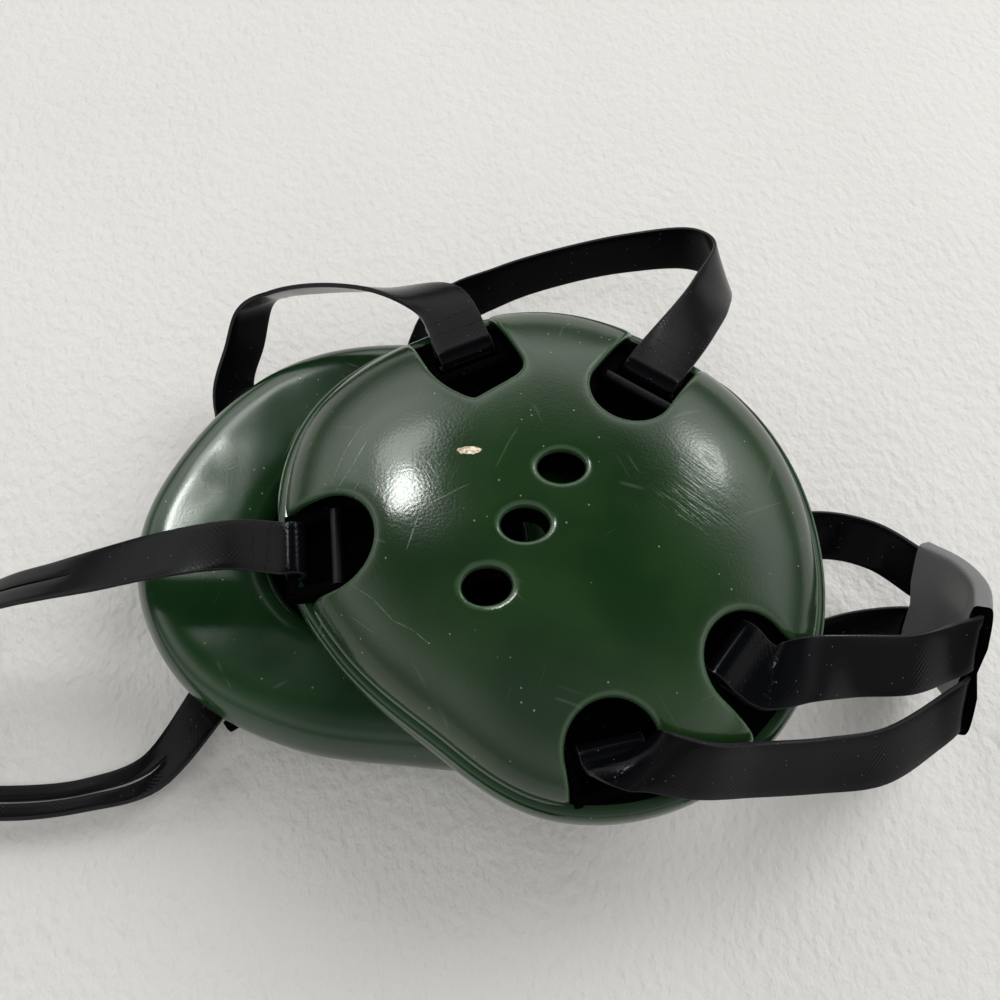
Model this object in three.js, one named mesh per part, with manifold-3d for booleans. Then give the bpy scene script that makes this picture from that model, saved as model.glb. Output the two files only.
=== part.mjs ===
// A wrestling ear guard as it was put down: two moulded ear cups, five webbing straps and the keeper that
// holds the two rear straps side by side. Millimetres, +Z up, standing on z = 0.
// The right cup lies with its dome down. The left cup lies on it pad to pad, so each strap leaves a notch
// of the left cup, bends down outside both cups and ends in the same notch of the right cup.
import * as THREE from 'three';
import { mergeVertices } from 'three/addons/utils/BufferGeometryUtils.js';
import Module from 'manifold-3d';

const wasm = await Module();
wasm.setup();

// Sizes that both cups share
const GAP = 0.3;             // clearance between pieces that touch
const AROUND = 40;           // facets round a cup
const DOME_HEIGHT = 20;      // height that the dome's curve rises over the seam
const DOME_POWER = 2.4;      // 2 is a round dome, more is flatter on top and steeper at the side
const SHELL_WALL = 3;
const SHELL_INSET = 3;       // how far the shell's edge lies inside the pad's greatest outline
const PAD_THICKNESS = 17;
const LINER_AROUND = 22;     // facets round the liner, which is hidden but for its vents
const LINER_INSET = 9.5;
const LINER_HEIGHT = 13;
const LINER_WALL = 1.6;

// The pad's greatest outline, seen on the dome's side of the left cup with +X to the right.
const OUTLINE = [
  { at: 0, radius: 62.3 },
  { at: 30, radius: 61 },
  { at: 60, radius: 60.2 },
  { at: 90, radius: 62.4 },
  { at: 120, radius: 63.2 },
  { at: 150, radius: 66.3 },
  { at: 180, radius: 62.2 },
  { at: 210, radius: 55.2 },
  { at: 240, radius: 53.3 },
  { at: 270, radius: 61.3 },
  { at: 300, radius: 65 },
  { at: 330, radius: 65 },
];

// Rings of the shell: a share of its radius. The first one bounds the flat crown of the dome.
const OUTER_SHARES = [0.22, 0.45, 0.65, 0.82, 0.93, 1];
const INNER_SHARES = [1, 0.88, 0.66, 0.3];
const LINER_SHARES = [0.5, 0.85, 1];

// The pad's section from the seam round its outside, its face and the ear opening. A row lies inset from
// the outline, or at a share of the outline's radius, at its height over the seam.
const PAD_SECTION = [
  { inset: 2.6, height: -GAP },
  { inset: 0.7, height: -1.4 },
  { inset: 0, height: -4.5 },
  { inset: 0.9, height: -9.5 },
  { inset: 3.6, height: -14.2 },
  { inset: 9, height: -PAD_THICKNESS },
  { share: 0.58, height: -PAD_THICKNESS },
  { share: 0.5, height: -14 },
  { share: 0.48, height: -7 },
  { share: 0.52, height: -GAP },
];

// The notches that the straps leave by: direction, distances from the middle to the inner end and to the
// first of two strap bars, from there to the second one down the slope that the strap runs out on, width,
// and which of the bars the strap loops round, counted from 0. over says that a strap looped round the first
// bar lies on the second one, slide how far it lies off the notch's middle, and overSeam how high the
// strap's middle crosses the pad's outline.
const NOTCHES = {
  chin: { at: 186, inner: 38, bar: 47, pitch: 11, width: 21, looped: 1, slide: -1.3, overSeam: 4.4 },
  forehead: { at: 114, inner: 31.5, bar: 42.5, pitch: 7.5, width: 20.5, looped: 1 },
  crown: { at: 57, inner: 27.5, bar: 38.5, pitch: 7.5, width: 20.5, looped: 1 },
  rear_upper: { at: 322, inner: 41, bar: 47.5, pitch: 7.5, width: 20, looped: 0, over: true },
  rear_lower: { at: 283, inner: 41, bar: 50.5, pitch: 7.5, width: 19.5, looped: 0 },
};
const NOTCH_ARC_STEPS = 10;

// Three oval vents in a slanting row, level with the middle of the dome.
const VENTS = { x: -5.8, y: -4.4, pitch: 15.4, slant: 59, halfLength: 5.2, halfWidth: 4, linerShare: 0.9 };

// The ladder in each notch: two cheeks that stand on the pad and carry the two strap bars
const BAR_RADIUS = 1.2;
const BAR_SIDES = 8;
const BAR_BELOW_DOME = 5.5;
const CHEEK_CLEARANCE = 0.5;     // from the cheeks to the notch's sides
const CHEEK_TO_STRAP = 0.5;
const CHEEK_BEYOND_BAR = 1.6;

// Webbing
const STRAP_WIDTH = 14;
const CHIN_STRAP_WIDTH = 12;
const STRAP_THICKNESS = 1.6;
const STRAP_STEPS = 3;           // facets from one row of a strap's table to the next
const LOOP_STEPS = 4;            // facets of the half turn round a bar
const TAIL_LENGTH = 1.2;         // from the bar to the strap's end underneath it
const SQUARING = 0.5;            // share of the width's lean along the strap that is taken out
const STRAP_OVER_SEAM = 2.5;     // unless the notch says otherwise

// Where the two cups lie
const CROWN_OF_DOME = domeHeight(OUTER_SHARES[0], DOME_HEIGHT);
const RIGHT_CUP = { x: -26, y: -1.5, z: CROWN_OF_DOME, turn: 32 };
const LEFT_CUP = { x: 11, y: -9, z: CROWN_OF_DOME + 2 * PAD_THICKNESS + GAP };

// A strap's table has a row for each section between its two notches: the middle of the strap, and the
// direction of its width as an azimuth and an elevation in degrees.
const FOREHEAD_ROWS = [
  { x: -16.5, y: 52, z: 59, azimuth: 40, elevation: -8 },
  { x: -30, y: 59, z: 54, azimuth: 88, elevation: -52 },
  { x: -46, y: 64, z: 48, azimuth: 100, elevation: -60 },
  { x: -60, y: 67, z: 41, azimuth: 95, elevation: -59 },
  { x: -68, y: 68.5, z: 33, azimuth: 50, elevation: -42 },
  { x: -72, y: 61, z: 25, azimuth: 40, elevation: -40 },
  { x: -75.6, y: 49.9, z: 18.2, azimuth: 48, elevation: -27 },
];
const CROWN_ROWS = [
  { x: 48, y: 48, z: 56, azimuth: -15, elevation: -30 },
  { x: 55, y: 61, z: 50, azimuth: -18, elevation: -40 },
  { x: 60, y: 76, z: 42, azimuth: -55, elevation: -52 },
  { x: 54, y: 86, z: 36, azimuth: -69, elevation: -70 },
  { x: 37, y: 90, z: 29, azimuth: -71, elevation: -75 },
  { x: 18, y: 89, z: 24, azimuth: -77, elevation: -76 },
  { x: 0, y: 85, z: 20, azimuth: -60, elevation: -70 },
  { x: -16, y: 76, z: 18, azimuth: -30, elevation: -45 },
];
const CHIN_ROWS = [
  { x: -61, y: -10.8, z: 54.4, azimuth: -74, elevation: 4 },
  { x: -79, y: -12.2, z: 51, azimuth: -80, elevation: 12 },
  { x: -93, y: -14, z: 47, azimuth: -74, elevation: 20 },
  { x: -106, y: -15, z: 42, azimuth: -68, elevation: 30 },
  { x: -120, y: -16, z: 36, azimuth: -70, elevation: 35 },
  { x: -138, y: -20, z: 28, azimuth: -78, elevation: 45 },
  { x: -153, y: -29, z: 20, azimuth: -85, elevation: 55 },
  { x: -159, y: -42, z: 13, azimuth: -85, elevation: 60 },
  { x: -152, y: -54, z: 8, azimuth: -80, elevation: 55 },
  { x: -138, y: -60, z: 6.5, azimuth: -70, elevation: 42 },
  { x: -120, y: -61, z: 6, azimuth: -62, elevation: 38 },
  { x: -103, y: -59, z: 6.5, azimuth: -56, elevation: 38 },
  { x: -87, y: -54, z: 9, azimuth: -50, elevation: 25 },
];
const REAR_UPPER_OUT_ROWS = [
  { x: 63.3, y: -41.5, z: 61.9, azimuth: -88, elevation: -22 },
  { x: 76, y: -39, z: 55, azimuth: -86, elevation: -33 },
  { x: 91, y: -37, z: 49, azimuth: -87, elevation: -32 },
  { x: 102, y: -33, z: 44, azimuth: -88, elevation: -38 },
];
const REAR_UPPER_BACK_ROWS = [
  { x: 99, y: 3, z: 18, azimuth: -85, elevation: -48 },
  { x: 86, y: 7, z: 16, azimuth: -80, elevation: -42 },
  { x: 62, y: 3, z: 15, azimuth: -86, elevation: -20 },
];
const REAR_LOWER_OUT_ROWS = [
  { x: 29.4, y: -60.9, z: 67.1, azimuth: -137, elevation: -27 },
  { x: 40, y: -62.2, z: 62.8, azimuth: -114, elevation: -44 },
  { x: 53, y: -60.6, z: 54.7, azimuth: -96, elevation: -48 },
  { x: 69, y: -58.4, z: 46.2, azimuth: -84, elevation: -46 },
  { x: 86, y: -55, z: 38, azimuth: -83, elevation: -38 },
  { x: 101, y: -47, z: 32, azimuth: -82, elevation: -42 },
];
const REAR_LOWER_BACK_ROWS = [
  { x: 92, y: -19, z: 8, azimuth: -88, elevation: -35 },
  { x: 70, y: -27, z: 5.4, azimuth: -95, elevation: -30 },
  { x: 50, y: -40, z: 7, azimuth: -110, elevation: -20 },
  { x: 34, y: -49, z: 12, azimuth: -125, elevation: -8 },
];

// The slit along the middle of the chin strap, between two rows of its table counted from 0
const SLIT = { from: 2.4, to: 12.6, width: 1.6 };

// The keeper is a double sleeve, pinched between the straps. Its rows give its own middle.
const KEEPER_ROWS = [
  { x: 108.5, y: -36, z: 38, azimuth: -90, elevation: -46 },
  { x: 112.5, y: -28, z: 31, azimuth: -90, elevation: -46 },
  { x: 112.5, y: -19, z: 22.5, azimuth: -90, elevation: -46 },
  { x: 108, y: -12, z: 16, azimuth: -90, elevation: -46 },
];
const KEEPER_WALL = 1.8;
const KEEPER_OVERSHOOT = 1;      // how far the cutters for its two cells reach past its ends

const vinyl = new THREE.MeshStandardMaterial({ name: 'green_vinyl', color: 0x1f3d26, roughness: 0.25, metalness: 0 });
const padVinyl = new THREE.MeshStandardMaterial({ name: 'pad_vinyl', color: 0x1c3a24, roughness: 0.3, metalness: 0 });
const plastic = new THREE.MeshStandardMaterial({ name: 'black_plastic', color: 0x0b0b0d, roughness: 0.45, metalness: 0 });
const webbing = new THREE.MeshStandardMaterial({ name: 'black_webbing', color: 0x101114, roughness: 0.35, metalness: 0 });

function radians(degrees) {
  return degrees * Math.PI / 180;
}

// The outline's radius in any direction, as a smooth closed curve through the table's rows.
function outlineRadius(degrees) {
  const count = OUTLINE.length;
  const place = (((degrees % 360) + 360) % 360) / (360 / count);
  const row = Math.floor(place);
  const t = place - row;
  const [a, b, c, d] = [-1, 0, 1, 2].map((step) => OUTLINE[(row + step + count) % count].radius);
  const slope = c - a;
  const bend = 2 * a - 5 * b + 4 * c - d;
  const twist = 3 * (b - c) + d - a;
  return b + 0.5 * t * (slope + t * (bend + t * twist));
}

function domeHeight(share, height) {
  return height * Math.sqrt(Math.max(0, 1 - share ** DOME_POWER));
}

function ringOf(radiusAt, height, count = AROUND) {
  return Array.from({ length: count }, (_, k) => {
    const degrees = 360 * k / count;
    const radius = radiusAt(degrees);
    return new THREE.Vector3(radius * Math.cos(radians(degrees)), radius * Math.sin(radians(degrees)), height);
  });
}

// A skin over rings of equal count. A ring of one point is a pole, and joined closes the last on the first.
function loft(rings, joined = false) {
  const position = [];
  const index = [];
  const starts = rings.map((ring) => {
    const start = position.length / 3;
    ring.forEach((point) => position.push(point.x, point.y, point.z));
    return start;
  });
  const spans = joined ? rings.length : rings.length - 1;
  for (let r = 0; r < spans; r += 1) {
    const n = (r + 1) % rings.length;
    const count = Math.max(rings[r].length, rings[n].length);
    const corner = (which, k) => starts[which] + (rings[which].length === 1 ? 0 : k % count);
    for (let k = 0; k < count; k += 1) {
      if (rings[n].length > 1) index.push(corner(r, k), corner(n, k), corner(n, k + 1));
      if (rings[r].length > 1) index.push(corner(r, k), corner(n, k + 1), corner(r, k + 1));
    }
  }
  const geometry = new THREE.BufferGeometry();
  geometry.setAttribute('position', new THREE.Float32BufferAttribute(position, 3));
  geometry.setIndex(index);
  return geometry;
}

function toSolid(geometry) {
  const bare = geometry.clone();
  bare.deleteAttribute('normal');
  bare.deleteAttribute('uv');
  const merged = mergeVertices(bare, 1e-4);
  return new wasm.Manifold(new wasm.Mesh({
    numProp: 3,
    vertProperties: new Float32Array(merged.attributes.position.array),
    triVerts: new Uint32Array(merged.index.array),
  }));
}

function toGeometry(solid) {
  const mesh = solid.getMesh();
  const geometry = new THREE.BufferGeometry();
  geometry.setAttribute('position', new THREE.Float32BufferAttribute(mesh.vertProperties, 3));
  geometry.setIndex(Array.from(mesh.triVerts));
  geometry.computeVertexNormals();
  return geometry;
}

// A dome's wall over the seam, from the outline less an inset, with a crown that is flat.
function domeWall(inset, height, wall, outerShares, innerShares, count) {
  const outer = outerShares.map((share) =>
    ringOf((degrees) => share * (outlineRadius(degrees) - inset), domeHeight(share, height), count));
  const inner = innerShares.map((share) =>
    ringOf((degrees) => share * (outlineRadius(degrees) - inset - wall), domeHeight(share, height - wall), count));
  const top = [new THREE.Vector3(0, 0, domeHeight(outerShares[0], height))];
  const underTop = [new THREE.Vector3(0, 0, domeHeight(innerShares.at(-1), height - wall))];
  return toSolid(loft([top, ...outer, ...inner, underTop]));
}

function ventCutter(scale) {
  const cutters = [-1, 0, 1].map((step) => {
    const cutter = new THREE.CylinderGeometry(1, 1, 2 * DOME_HEIGHT, 16);
    cutter.rotateX(Math.PI / 2);
    cutter.scale(scale * VENTS.halfLength, scale * VENTS.halfWidth, 1);
    const along = step * VENTS.pitch;
    cutter.translate(
      VENTS.x + along * Math.cos(radians(VENTS.slant)),
      VENTS.y + along * Math.sin(radians(VENTS.slant)),
      DOME_HEIGHT,
    );
    return toSolid(cutter);
  });
  return wasm.Manifold.union(cutters);
}

// A notch is round at its inner end and runs out through the rim. A narrower one reaches further in.
function notchCutter(notch, narrower = 0) {
  const half = notch.width / 2 - narrower;
  const roundMiddle = notch.inner + half - 2 * narrower;
  const beyondRim = 80;
  const shape = new THREE.Shape();
  shape.moveTo(beyondRim, -half);
  shape.lineTo(beyondRim, half);
  shape.lineTo(roundMiddle, half);
  shape.absarc(roundMiddle, 0, half, Math.PI / 2, Math.PI * 1.5, false);
  const cutter = new THREE.ExtrudeGeometry(shape, {
    depth: 2 * DOME_HEIGHT,
    bevelEnabled: false,
    curveSegments: NOTCH_ARC_STEPS,
  });
  cutter.translate(0, 0, -DOME_HEIGHT / 2);
  cutter.rotateZ(radians(notch.at));
  return toSolid(cutter);
}

// The looped bar's place in the cup, and the slope on which the strap runs out over the rim.
function barSeat(notch) {
  const radius = notch.bar;
  const rim = outlineRadius(notch.at);
  const height = domeHeight(radius / (rim - SHELL_INSET), DOME_HEIGHT) - BAR_BELOW_DOME;
  const strapHeight = height + BAR_RADIUS + GAP + STRAP_THICKNESS / 2;
  const slope = Math.atan2(strapHeight - (notch.overSeam ?? STRAP_OVER_SEAM), rim - radius);
  const turn = radians(notch.at);
  const outward = new THREE.Vector3(
    Math.cos(slope) * Math.cos(turn), Math.cos(slope) * Math.sin(turn), -Math.sin(slope));
  const across = new THREE.Vector3(-Math.sin(turn), Math.cos(turn), 0);
  const upward = outward.clone().cross(across);
  const place = new THREE.Vector3(radius * Math.cos(turn), radius * Math.sin(turn), height);
  const matrix = new THREE.Matrix4().makeBasis(outward, across, upward).setPosition(place);
  return { radius, rim, height, slope, outward, across, upward, place, matrix };
}

function ladderWidth(notch) {
  const halfSpan = notch.width / 2 - CHEEK_CLEARANCE;
  return { halfSpan, cheekWall: halfSpan - STRAP_WIDTH / 2 - CHEEK_TO_STRAP };
}

// Two upright cheeks with the bars between them, standing on the pad inside a notch.
function strapLadder(notch) {
  const seat = barSeat(notch);
  const { halfSpan, cheekWall } = ladderWidth(notch);
  const bars = [0, 1].map((step) => {
    const bar = new THREE.CylinderGeometry(BAR_RADIUS, BAR_RADIUS, 2 * halfSpan - cheekWall, BAR_SIDES);
    bar.translate(step * notch.pitch, 0, 0);
    bar.applyMatrix4(seat.matrix);
    return toSolid(bar);
  });
  const near = seat.radius - CHEEK_BEYOND_BAR;
  const far = seat.radius + notch.pitch * Math.cos(seat.slope) + CHEEK_BEYOND_BAR;
  const topAt = (radius) => seat.height - (radius - seat.radius) * Math.tan(seat.slope) + BAR_RADIUS;
  const side = new THREE.Shape([
    new THREE.Vector2(near, 0),
    new THREE.Vector2(far, 0),
    new THREE.Vector2(far, topAt(far)),
    new THREE.Vector2(near, topAt(near)),
  ]);
  const cheeks = [-halfSpan, halfSpan - cheekWall].map((start) => {
    const cheek = new THREE.ExtrudeGeometry(side, { depth: cheekWall, bevelEnabled: false });
    cheek.rotateX(Math.PI / 2);
    cheek.translate(0, start + cheekWall, 0);
    cheek.rotateZ(radians(notch.at));
    return toSolid(cheek);
  });
  return wasm.Manifold.union([...bars, ...cheeks]);
}

function shellGeometry() {
  const notches = wasm.Manifold.union(Object.values(NOTCHES).map((notch) => notchCutter(notch)));
  const dome = domeWall(SHELL_INSET, DOME_HEIGHT, SHELL_WALL, OUTER_SHARES, INNER_SHARES);
  return toGeometry(dome.subtract(notches).subtract(ventCutter(1)));
}

function frameGeometry() {
  const innerShares = [...LINER_SHARES].reverse();
  const dome = domeWall(LINER_INSET, LINER_HEIGHT, LINER_WALL, LINER_SHARES, innerShares, LINER_AROUND);
  const notches = Object.values(NOTCHES).map((notch) =>
    notchCutter(notch, CHEEK_CLEARANCE + ladderWidth(notch).cheekWall / 2));
  const liner = dome.subtract(ventCutter(VENTS.linerShare)).subtract(wasm.Manifold.union(notches));
  return toGeometry(wasm.Manifold.union([liner, ...Object.values(NOTCHES).map(strapLadder)]));
}

function padGeometry() {
  const rings = PAD_SECTION.map((row) => ringOf(
    (degrees) => ('share' in row ? row.share * outlineRadius(degrees) : outlineRadius(degrees) - row.inset),
    row.height,
  ));
  const geometry = loft(rings, true);
  geometry.computeVertexNormals();
  return geometry;
}

// Sections of a strap or a sleeve: its middle, the direction of its width and the direction it runs in.
function section(row) {
  const turn = radians(row.azimuth);
  const lift = radians(row.elevation);
  return {
    middle: new THREE.Vector3(row.x, row.y, row.z),
    wide: new THREE.Vector3(Math.cos(lift) * Math.cos(turn), Math.cos(lift) * Math.sin(turn), Math.sin(lift)),
  };
}

// Most of the width's lean along the run is taken out, and the direction of the thickness is added.
function squared(station) {
  const along = station.along.clone().normalize();
  const lean = station.wide.dot(along) * (station.fixed ? 1 : SQUARING);
  const wide = station.wide.clone().addScaledVector(along, -lean).normalize();
  const thick = along.clone().cross(wide).normalize();
  return { middle: station.middle, along, wide, thick, fixed: station.fixed };
}

// The loop round a notch's bar, from the strap's end under the bar to where the strap lies on the last bar.
function loopStations(cup, notchName, widthSign) {
  const { looped, pitch, over, slide = 0 } = NOTCHES[notchName];
  const seat = barSeat(NOTCHES[notchName]);
  const arm = BAR_RADIUS + GAP + STRAP_THICKNESS / 2;
  const points = [
    { out: TAIL_LENGTH, up: -arm, runOut: -1, runUp: 0 },
  ];
  for (let k = 0; k <= LOOP_STEPS; k += 1) {
    const angle = Math.PI * k / LOOP_STEPS;
    points.push({
      out: -arm * Math.sin(angle), up: -arm * Math.cos(angle), runOut: -Math.cos(angle), runUp: Math.sin(angle),
    });
  }
  if (over) points.push({ out: pitch, up: arm, runOut: 1, runUp: 0 });
  return points.map((point) => {
    const middle = new THREE.Vector3(point.out + looped * pitch, slide, point.up)
      .applyMatrix4(seat.matrix).applyMatrix4(cup.matrix);
    const along = seat.outward.clone().multiplyScalar(point.runOut)
      .addScaledVector(seat.upward, point.runUp).applyMatrix3(cup.turning);
    const wide = seat.across.clone().multiplyScalar(widthSign).applyMatrix3(cup.turning);
    return { middle, along, wide, fixed: true };
  });
}

function backwards(stations) {
  return stations.map((s) => ({ ...s, along: s.along?.clone().negate() })).reverse();
}

// Smooth stations through the rows of a strap. Fixed stations keep their own frame.
function smoothRun(controls, steps) {
  const middles = new THREE.CatmullRomCurve3(controls.map((c) => c.middle), false, 'centripetal');
  const widths = new THREE.CatmullRomCurve3(controls.map((c) => c.wide), false, 'catmullrom', 0.5);
  const last = controls.length - 1;
  const stations = [];
  controls.forEach((control, i) => {
    const along = control.fixed ? control.along : middles.getTangent(i / last);
    stations.push(squared({ ...control, along }));
    if (i === last || (control.fixed && controls[i + 1].fixed)) return;
    for (let k = 1; k < steps; k += 1) {
      const t = (i + k / steps) / last;
      stations.push(squared({ middle: middles.getPoint(t), wide: widths.getPoint(t), along: middles.getTangent(t) }));
    }
  });
  return stations;
}

// A closed sweep of a flat profile, whose corners (w across the width, n across the thickness) run clockwise.
function sweep(stations, profile) {
  const rings = stations.map((station) => profile.map(({ w, n }) =>
    station.middle.clone().addScaledVector(station.wide, w).addScaledVector(station.thick, n)));
  const middleOf = (ring) =>
    [ring.reduce((sum, point) => sum.add(point), new THREE.Vector3()).divideScalar(ring.length)];
  return loft([middleOf(rings[0]), ...rings, middleOf(rings.at(-1))]);
}

function rectangle(width, thickness, offset = 0) {
  const w = width / 2;
  const n = thickness / 2;
  return [{ w: offset + w, n }, { w: offset + w, n: -n }, { w: offset - w, n: -n }, { w: offset - w, n }];
}

// A cup's own place, as matrices. The right cup is the left one mirrored through its seam.
function cupPlace(place, mirrored) {
  const matrix = new THREE.Matrix4().makeTranslation(place.x, place.y, place.z)
    .multiply(new THREE.Matrix4().makeRotationZ(radians(place.turn ?? 0)))
    .multiply(new THREE.Matrix4().makeScale(1, 1, mirrored ? -1 : 1));
  return { matrix, turning: new THREE.Matrix3().setFromMatrix4(matrix) };
}

const leftCup = cupPlace(LEFT_CUP, false);
const rightCup = cupPlace(RIGHT_CUP, true);
const keeperStations = smoothRun(KEEPER_ROWS.map(section), STRAP_STEPS);
const KEEPER_PITCH = STRAP_WIDTH + 2 * GAP + KEEPER_WALL;

// The stretch of a rear strap inside the keeper, one side of the keeper's middle.
function keeperStretch(side) {
  return keeperStations.map((s) => ({
    ...s, middle: s.middle.clone().addScaledVector(s.wide, side * KEEPER_PITCH / 2), fixed: true,
  }));
}

function strapStations(notchName, widthSign, between) {
  const controls = [
    ...loopStations(leftCup, notchName, widthSign),
    ...between,
    ...backwards(loopStations(rightCup, notchName, widthSign)),
  ];
  return smoothRun(controls, STRAP_STEPS);
}

function strapGeometry(stations, width = STRAP_WIDTH) {
  return sweep(stations, rectangle(width, STRAP_THICKNESS));
}

function chinGeometry() {
  const loops = loopStations(leftCup, 'chin', 1).length;
  const controls = [
    ...loopStations(leftCup, 'chin', 1),
    ...CHIN_ROWS.map(section),
    ...backwards(loopStations(rightCup, 'chin', 1)),
  ];
  const stations = smoothRun(controls, STRAP_STEPS);
  const stationOf = (row) => (loops - 1) + Math.round((row + 1) * STRAP_STEPS);
  const slitStations = stations.slice(stationOf(SLIT.from), stationOf(SLIT.to) + 1);
  const slit = sweep(slitStations, rectangle(SLIT.width, 3 * STRAP_THICKNESS));
  return toGeometry(toSolid(strapGeometry(stations, CHIN_STRAP_WIDTH)).subtract(toSolid(slit)));
}

function keeperGeometry() {
  const cellWidth = STRAP_WIDTH + 2 * GAP;
  const cellThickness = STRAP_THICKNESS + 2 * GAP;
  const halfWidth = cellWidth + 1.5 * KEEPER_WALL;
  const halfThickness = cellThickness / 2 + KEEPER_WALL;
  const waist = KEEPER_WALL;
  const corner = KEEPER_WALL;
  const outline = [
    { w: waist / 2, n: halfThickness - 0.5 }, { w: waist, n: halfThickness },
    { w: halfWidth - corner, n: halfThickness }, { w: halfWidth, n: halfThickness - corner },
    { w: halfWidth, n: corner - halfThickness }, { w: halfWidth - corner, n: -halfThickness },
    { w: waist, n: -halfThickness }, { w: waist / 2, n: 0.5 - halfThickness },
  ];
  const otherHalf = outline.map(({ w, n }) => ({ w: -w, n: -n }));
  const first = keeperStations[0];
  const final = keeperStations.at(-1);
  const cutterRun = [
    { ...first, middle: first.middle.clone().addScaledVector(first.along, -KEEPER_OVERSHOOT) },
    ...keeperStations,
    { ...final, middle: final.middle.clone().addScaledVector(final.along, KEEPER_OVERSHOOT) },
  ];
  const cells = [-1, 1].map((side) =>
    toSolid(sweep(cutterRun, rectangle(cellWidth, cellThickness, side * KEEPER_PITCH / 2))));
  const sleeve = toSolid(sweep(keeperStations, [...outline, ...otherHalf]));
  return toGeometry(sleeve.subtract(cells[0]).subtract(cells[1]));
}

function named(name, geometry, material) {
  const mesh = new THREE.Mesh(geometry, material);
  mesh.name = name;
  return mesh;
}

function addCup(guard, side, cup) {
  const group = new THREE.Group();
  group.name = `${side}_cup`;
  group.add(
    named(`${side}_shell`, shellGeometry(), vinyl),
    named(`${side}_frame`, frameGeometry(), plastic),
    named(`${side}_pad`, padGeometry(), padVinyl),
  );
  group.applyMatrix4(cup.matrix);
  guard.add(group);
}

const guard = new THREE.Group();
guard.name = 'wrestling_ear_guard';
addCup(guard, 'left', leftCup);
addCup(guard, 'right', rightCup);
guard.add(
  named('forehead_strap', strapGeometry(strapStations('forehead', -1, FOREHEAD_ROWS.map(section))), webbing),
  named('crown_strap', strapGeometry(strapStations('crown', -1, CROWN_ROWS.map(section))), webbing),
  named('chin_strap', chinGeometry(), webbing),
  named('rear_upper_strap', strapGeometry(strapStations('rear_upper', -1, [
    ...REAR_UPPER_OUT_ROWS.map(section), ...keeperStretch(-1), ...REAR_UPPER_BACK_ROWS.map(section),
  ])), webbing),
  named('rear_lower_strap', strapGeometry(strapStations('rear_lower', -1, [
    ...REAR_LOWER_OUT_ROWS.map(section), ...keeperStretch(1), ...REAR_LOWER_BACK_ROWS.map(section),
  ])), webbing),
  named('strap_keeper', keeperGeometry(), webbing),
);

// The origin is the bottom centre of the whole object's box.
const box = new THREE.Box3().setFromObject(guard, true);
const centre = box.getCenter(new THREE.Vector3());
const pieces = new THREE.Group();
guard.position.set(-centre.x, -centre.y, -box.min.z);
pieces.add(guard);

export default pieces;
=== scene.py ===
# %% [markdown]
# A wrestling ear guard, put down folded.
# Two moulded ear cups lie on each other pad to pad, and five straps of vinyl-coated webbing join them.
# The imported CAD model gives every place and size. This lesson rebuilds each piece round it with the shapes
# and finishes that the real thing has: thick glossy vinyl, soft rings, black webbing and a double sleeve.

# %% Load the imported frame
import math
import bpy
import numpy as np
from mathutils import Matrix, Vector


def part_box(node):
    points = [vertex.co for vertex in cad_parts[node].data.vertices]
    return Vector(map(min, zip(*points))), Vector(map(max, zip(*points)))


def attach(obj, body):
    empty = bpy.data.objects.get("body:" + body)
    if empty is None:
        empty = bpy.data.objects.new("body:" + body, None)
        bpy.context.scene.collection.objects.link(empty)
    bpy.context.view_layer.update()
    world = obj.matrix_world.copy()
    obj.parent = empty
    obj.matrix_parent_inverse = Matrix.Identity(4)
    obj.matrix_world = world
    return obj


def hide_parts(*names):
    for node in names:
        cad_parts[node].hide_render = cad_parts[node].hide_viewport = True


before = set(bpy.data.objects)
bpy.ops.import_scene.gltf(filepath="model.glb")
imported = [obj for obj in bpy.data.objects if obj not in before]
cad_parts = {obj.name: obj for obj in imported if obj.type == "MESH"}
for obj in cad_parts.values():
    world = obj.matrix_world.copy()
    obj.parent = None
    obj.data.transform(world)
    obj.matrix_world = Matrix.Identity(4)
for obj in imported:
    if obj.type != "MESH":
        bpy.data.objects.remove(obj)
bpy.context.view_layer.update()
bpy.ops.object.select_all(action="DESELECT")

# %% [markdown]
# Every size below is in millimetres, as on the drawing of the cup, and is turned into metres at the end.
# The cup's outline is a smooth closed curve through twelve radii, so a piece can ask for its radius at any
# angle. The left pad's packed box then says where the drawing's origin lies in the frame.

# %% Measure the cup's outline
MM = 0.001
OUTLINE_RADII = (62.3, 61, 60.2, 62.4, 63.2, 66.3, 62.2, 55.2, 53.3, 61.3, 65, 65)
OUTLINE_STEP = 360 / len(OUTLINE_RADII)
PACKED_CORNER_STEP = 9
LEFT_CUP = Vector((11, -9, 54.0341))
RIGHT_CUP = Vector((-26, -1.5, 19.7341))
RIGHT_CUP_TURN = 32
DOME_HEIGHT = 20
DOME_POWER = 2.4
SHELL_INSET = 3
SHELL_WALL = 3
PAD_THICKNESS = 17


def outline_radius(degrees):
    """The pad's greatest radius in any direction, for a number or an array of degrees."""
    radii = np.array(OUTLINE_RADII)
    place = np.mod(degrees, 360) / OUTLINE_STEP
    row = np.floor(place).astype(int)
    t = place - row
    a, b, c, d = [radii[(row + step) % len(radii)] for step in (-1, 0, 1, 2)]
    return b + 0.5 * t * (c - a + t * (2 * a - 5 * b + 4 * c - d + t * (3 * (b - c) + d - a)))


def find_shift():
    """How far the drawing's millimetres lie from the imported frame's origin."""
    facets = np.arange(0, 360, PACKED_CORNER_STEP)
    radii = outline_radius(facets)
    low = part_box("left_pad")[0] / MM
    x = low.x - np.min(radii * np.cos(np.radians(facets)))
    y = low.y - np.min(radii * np.sin(np.radians(facets)))
    return Vector((x - LEFT_CUP.x, y - LEFT_CUP.y, 0))


SHIFT = find_shift()
print("drawing to frame, mm:", [round(v, 3) for v in SHIFT])

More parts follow.
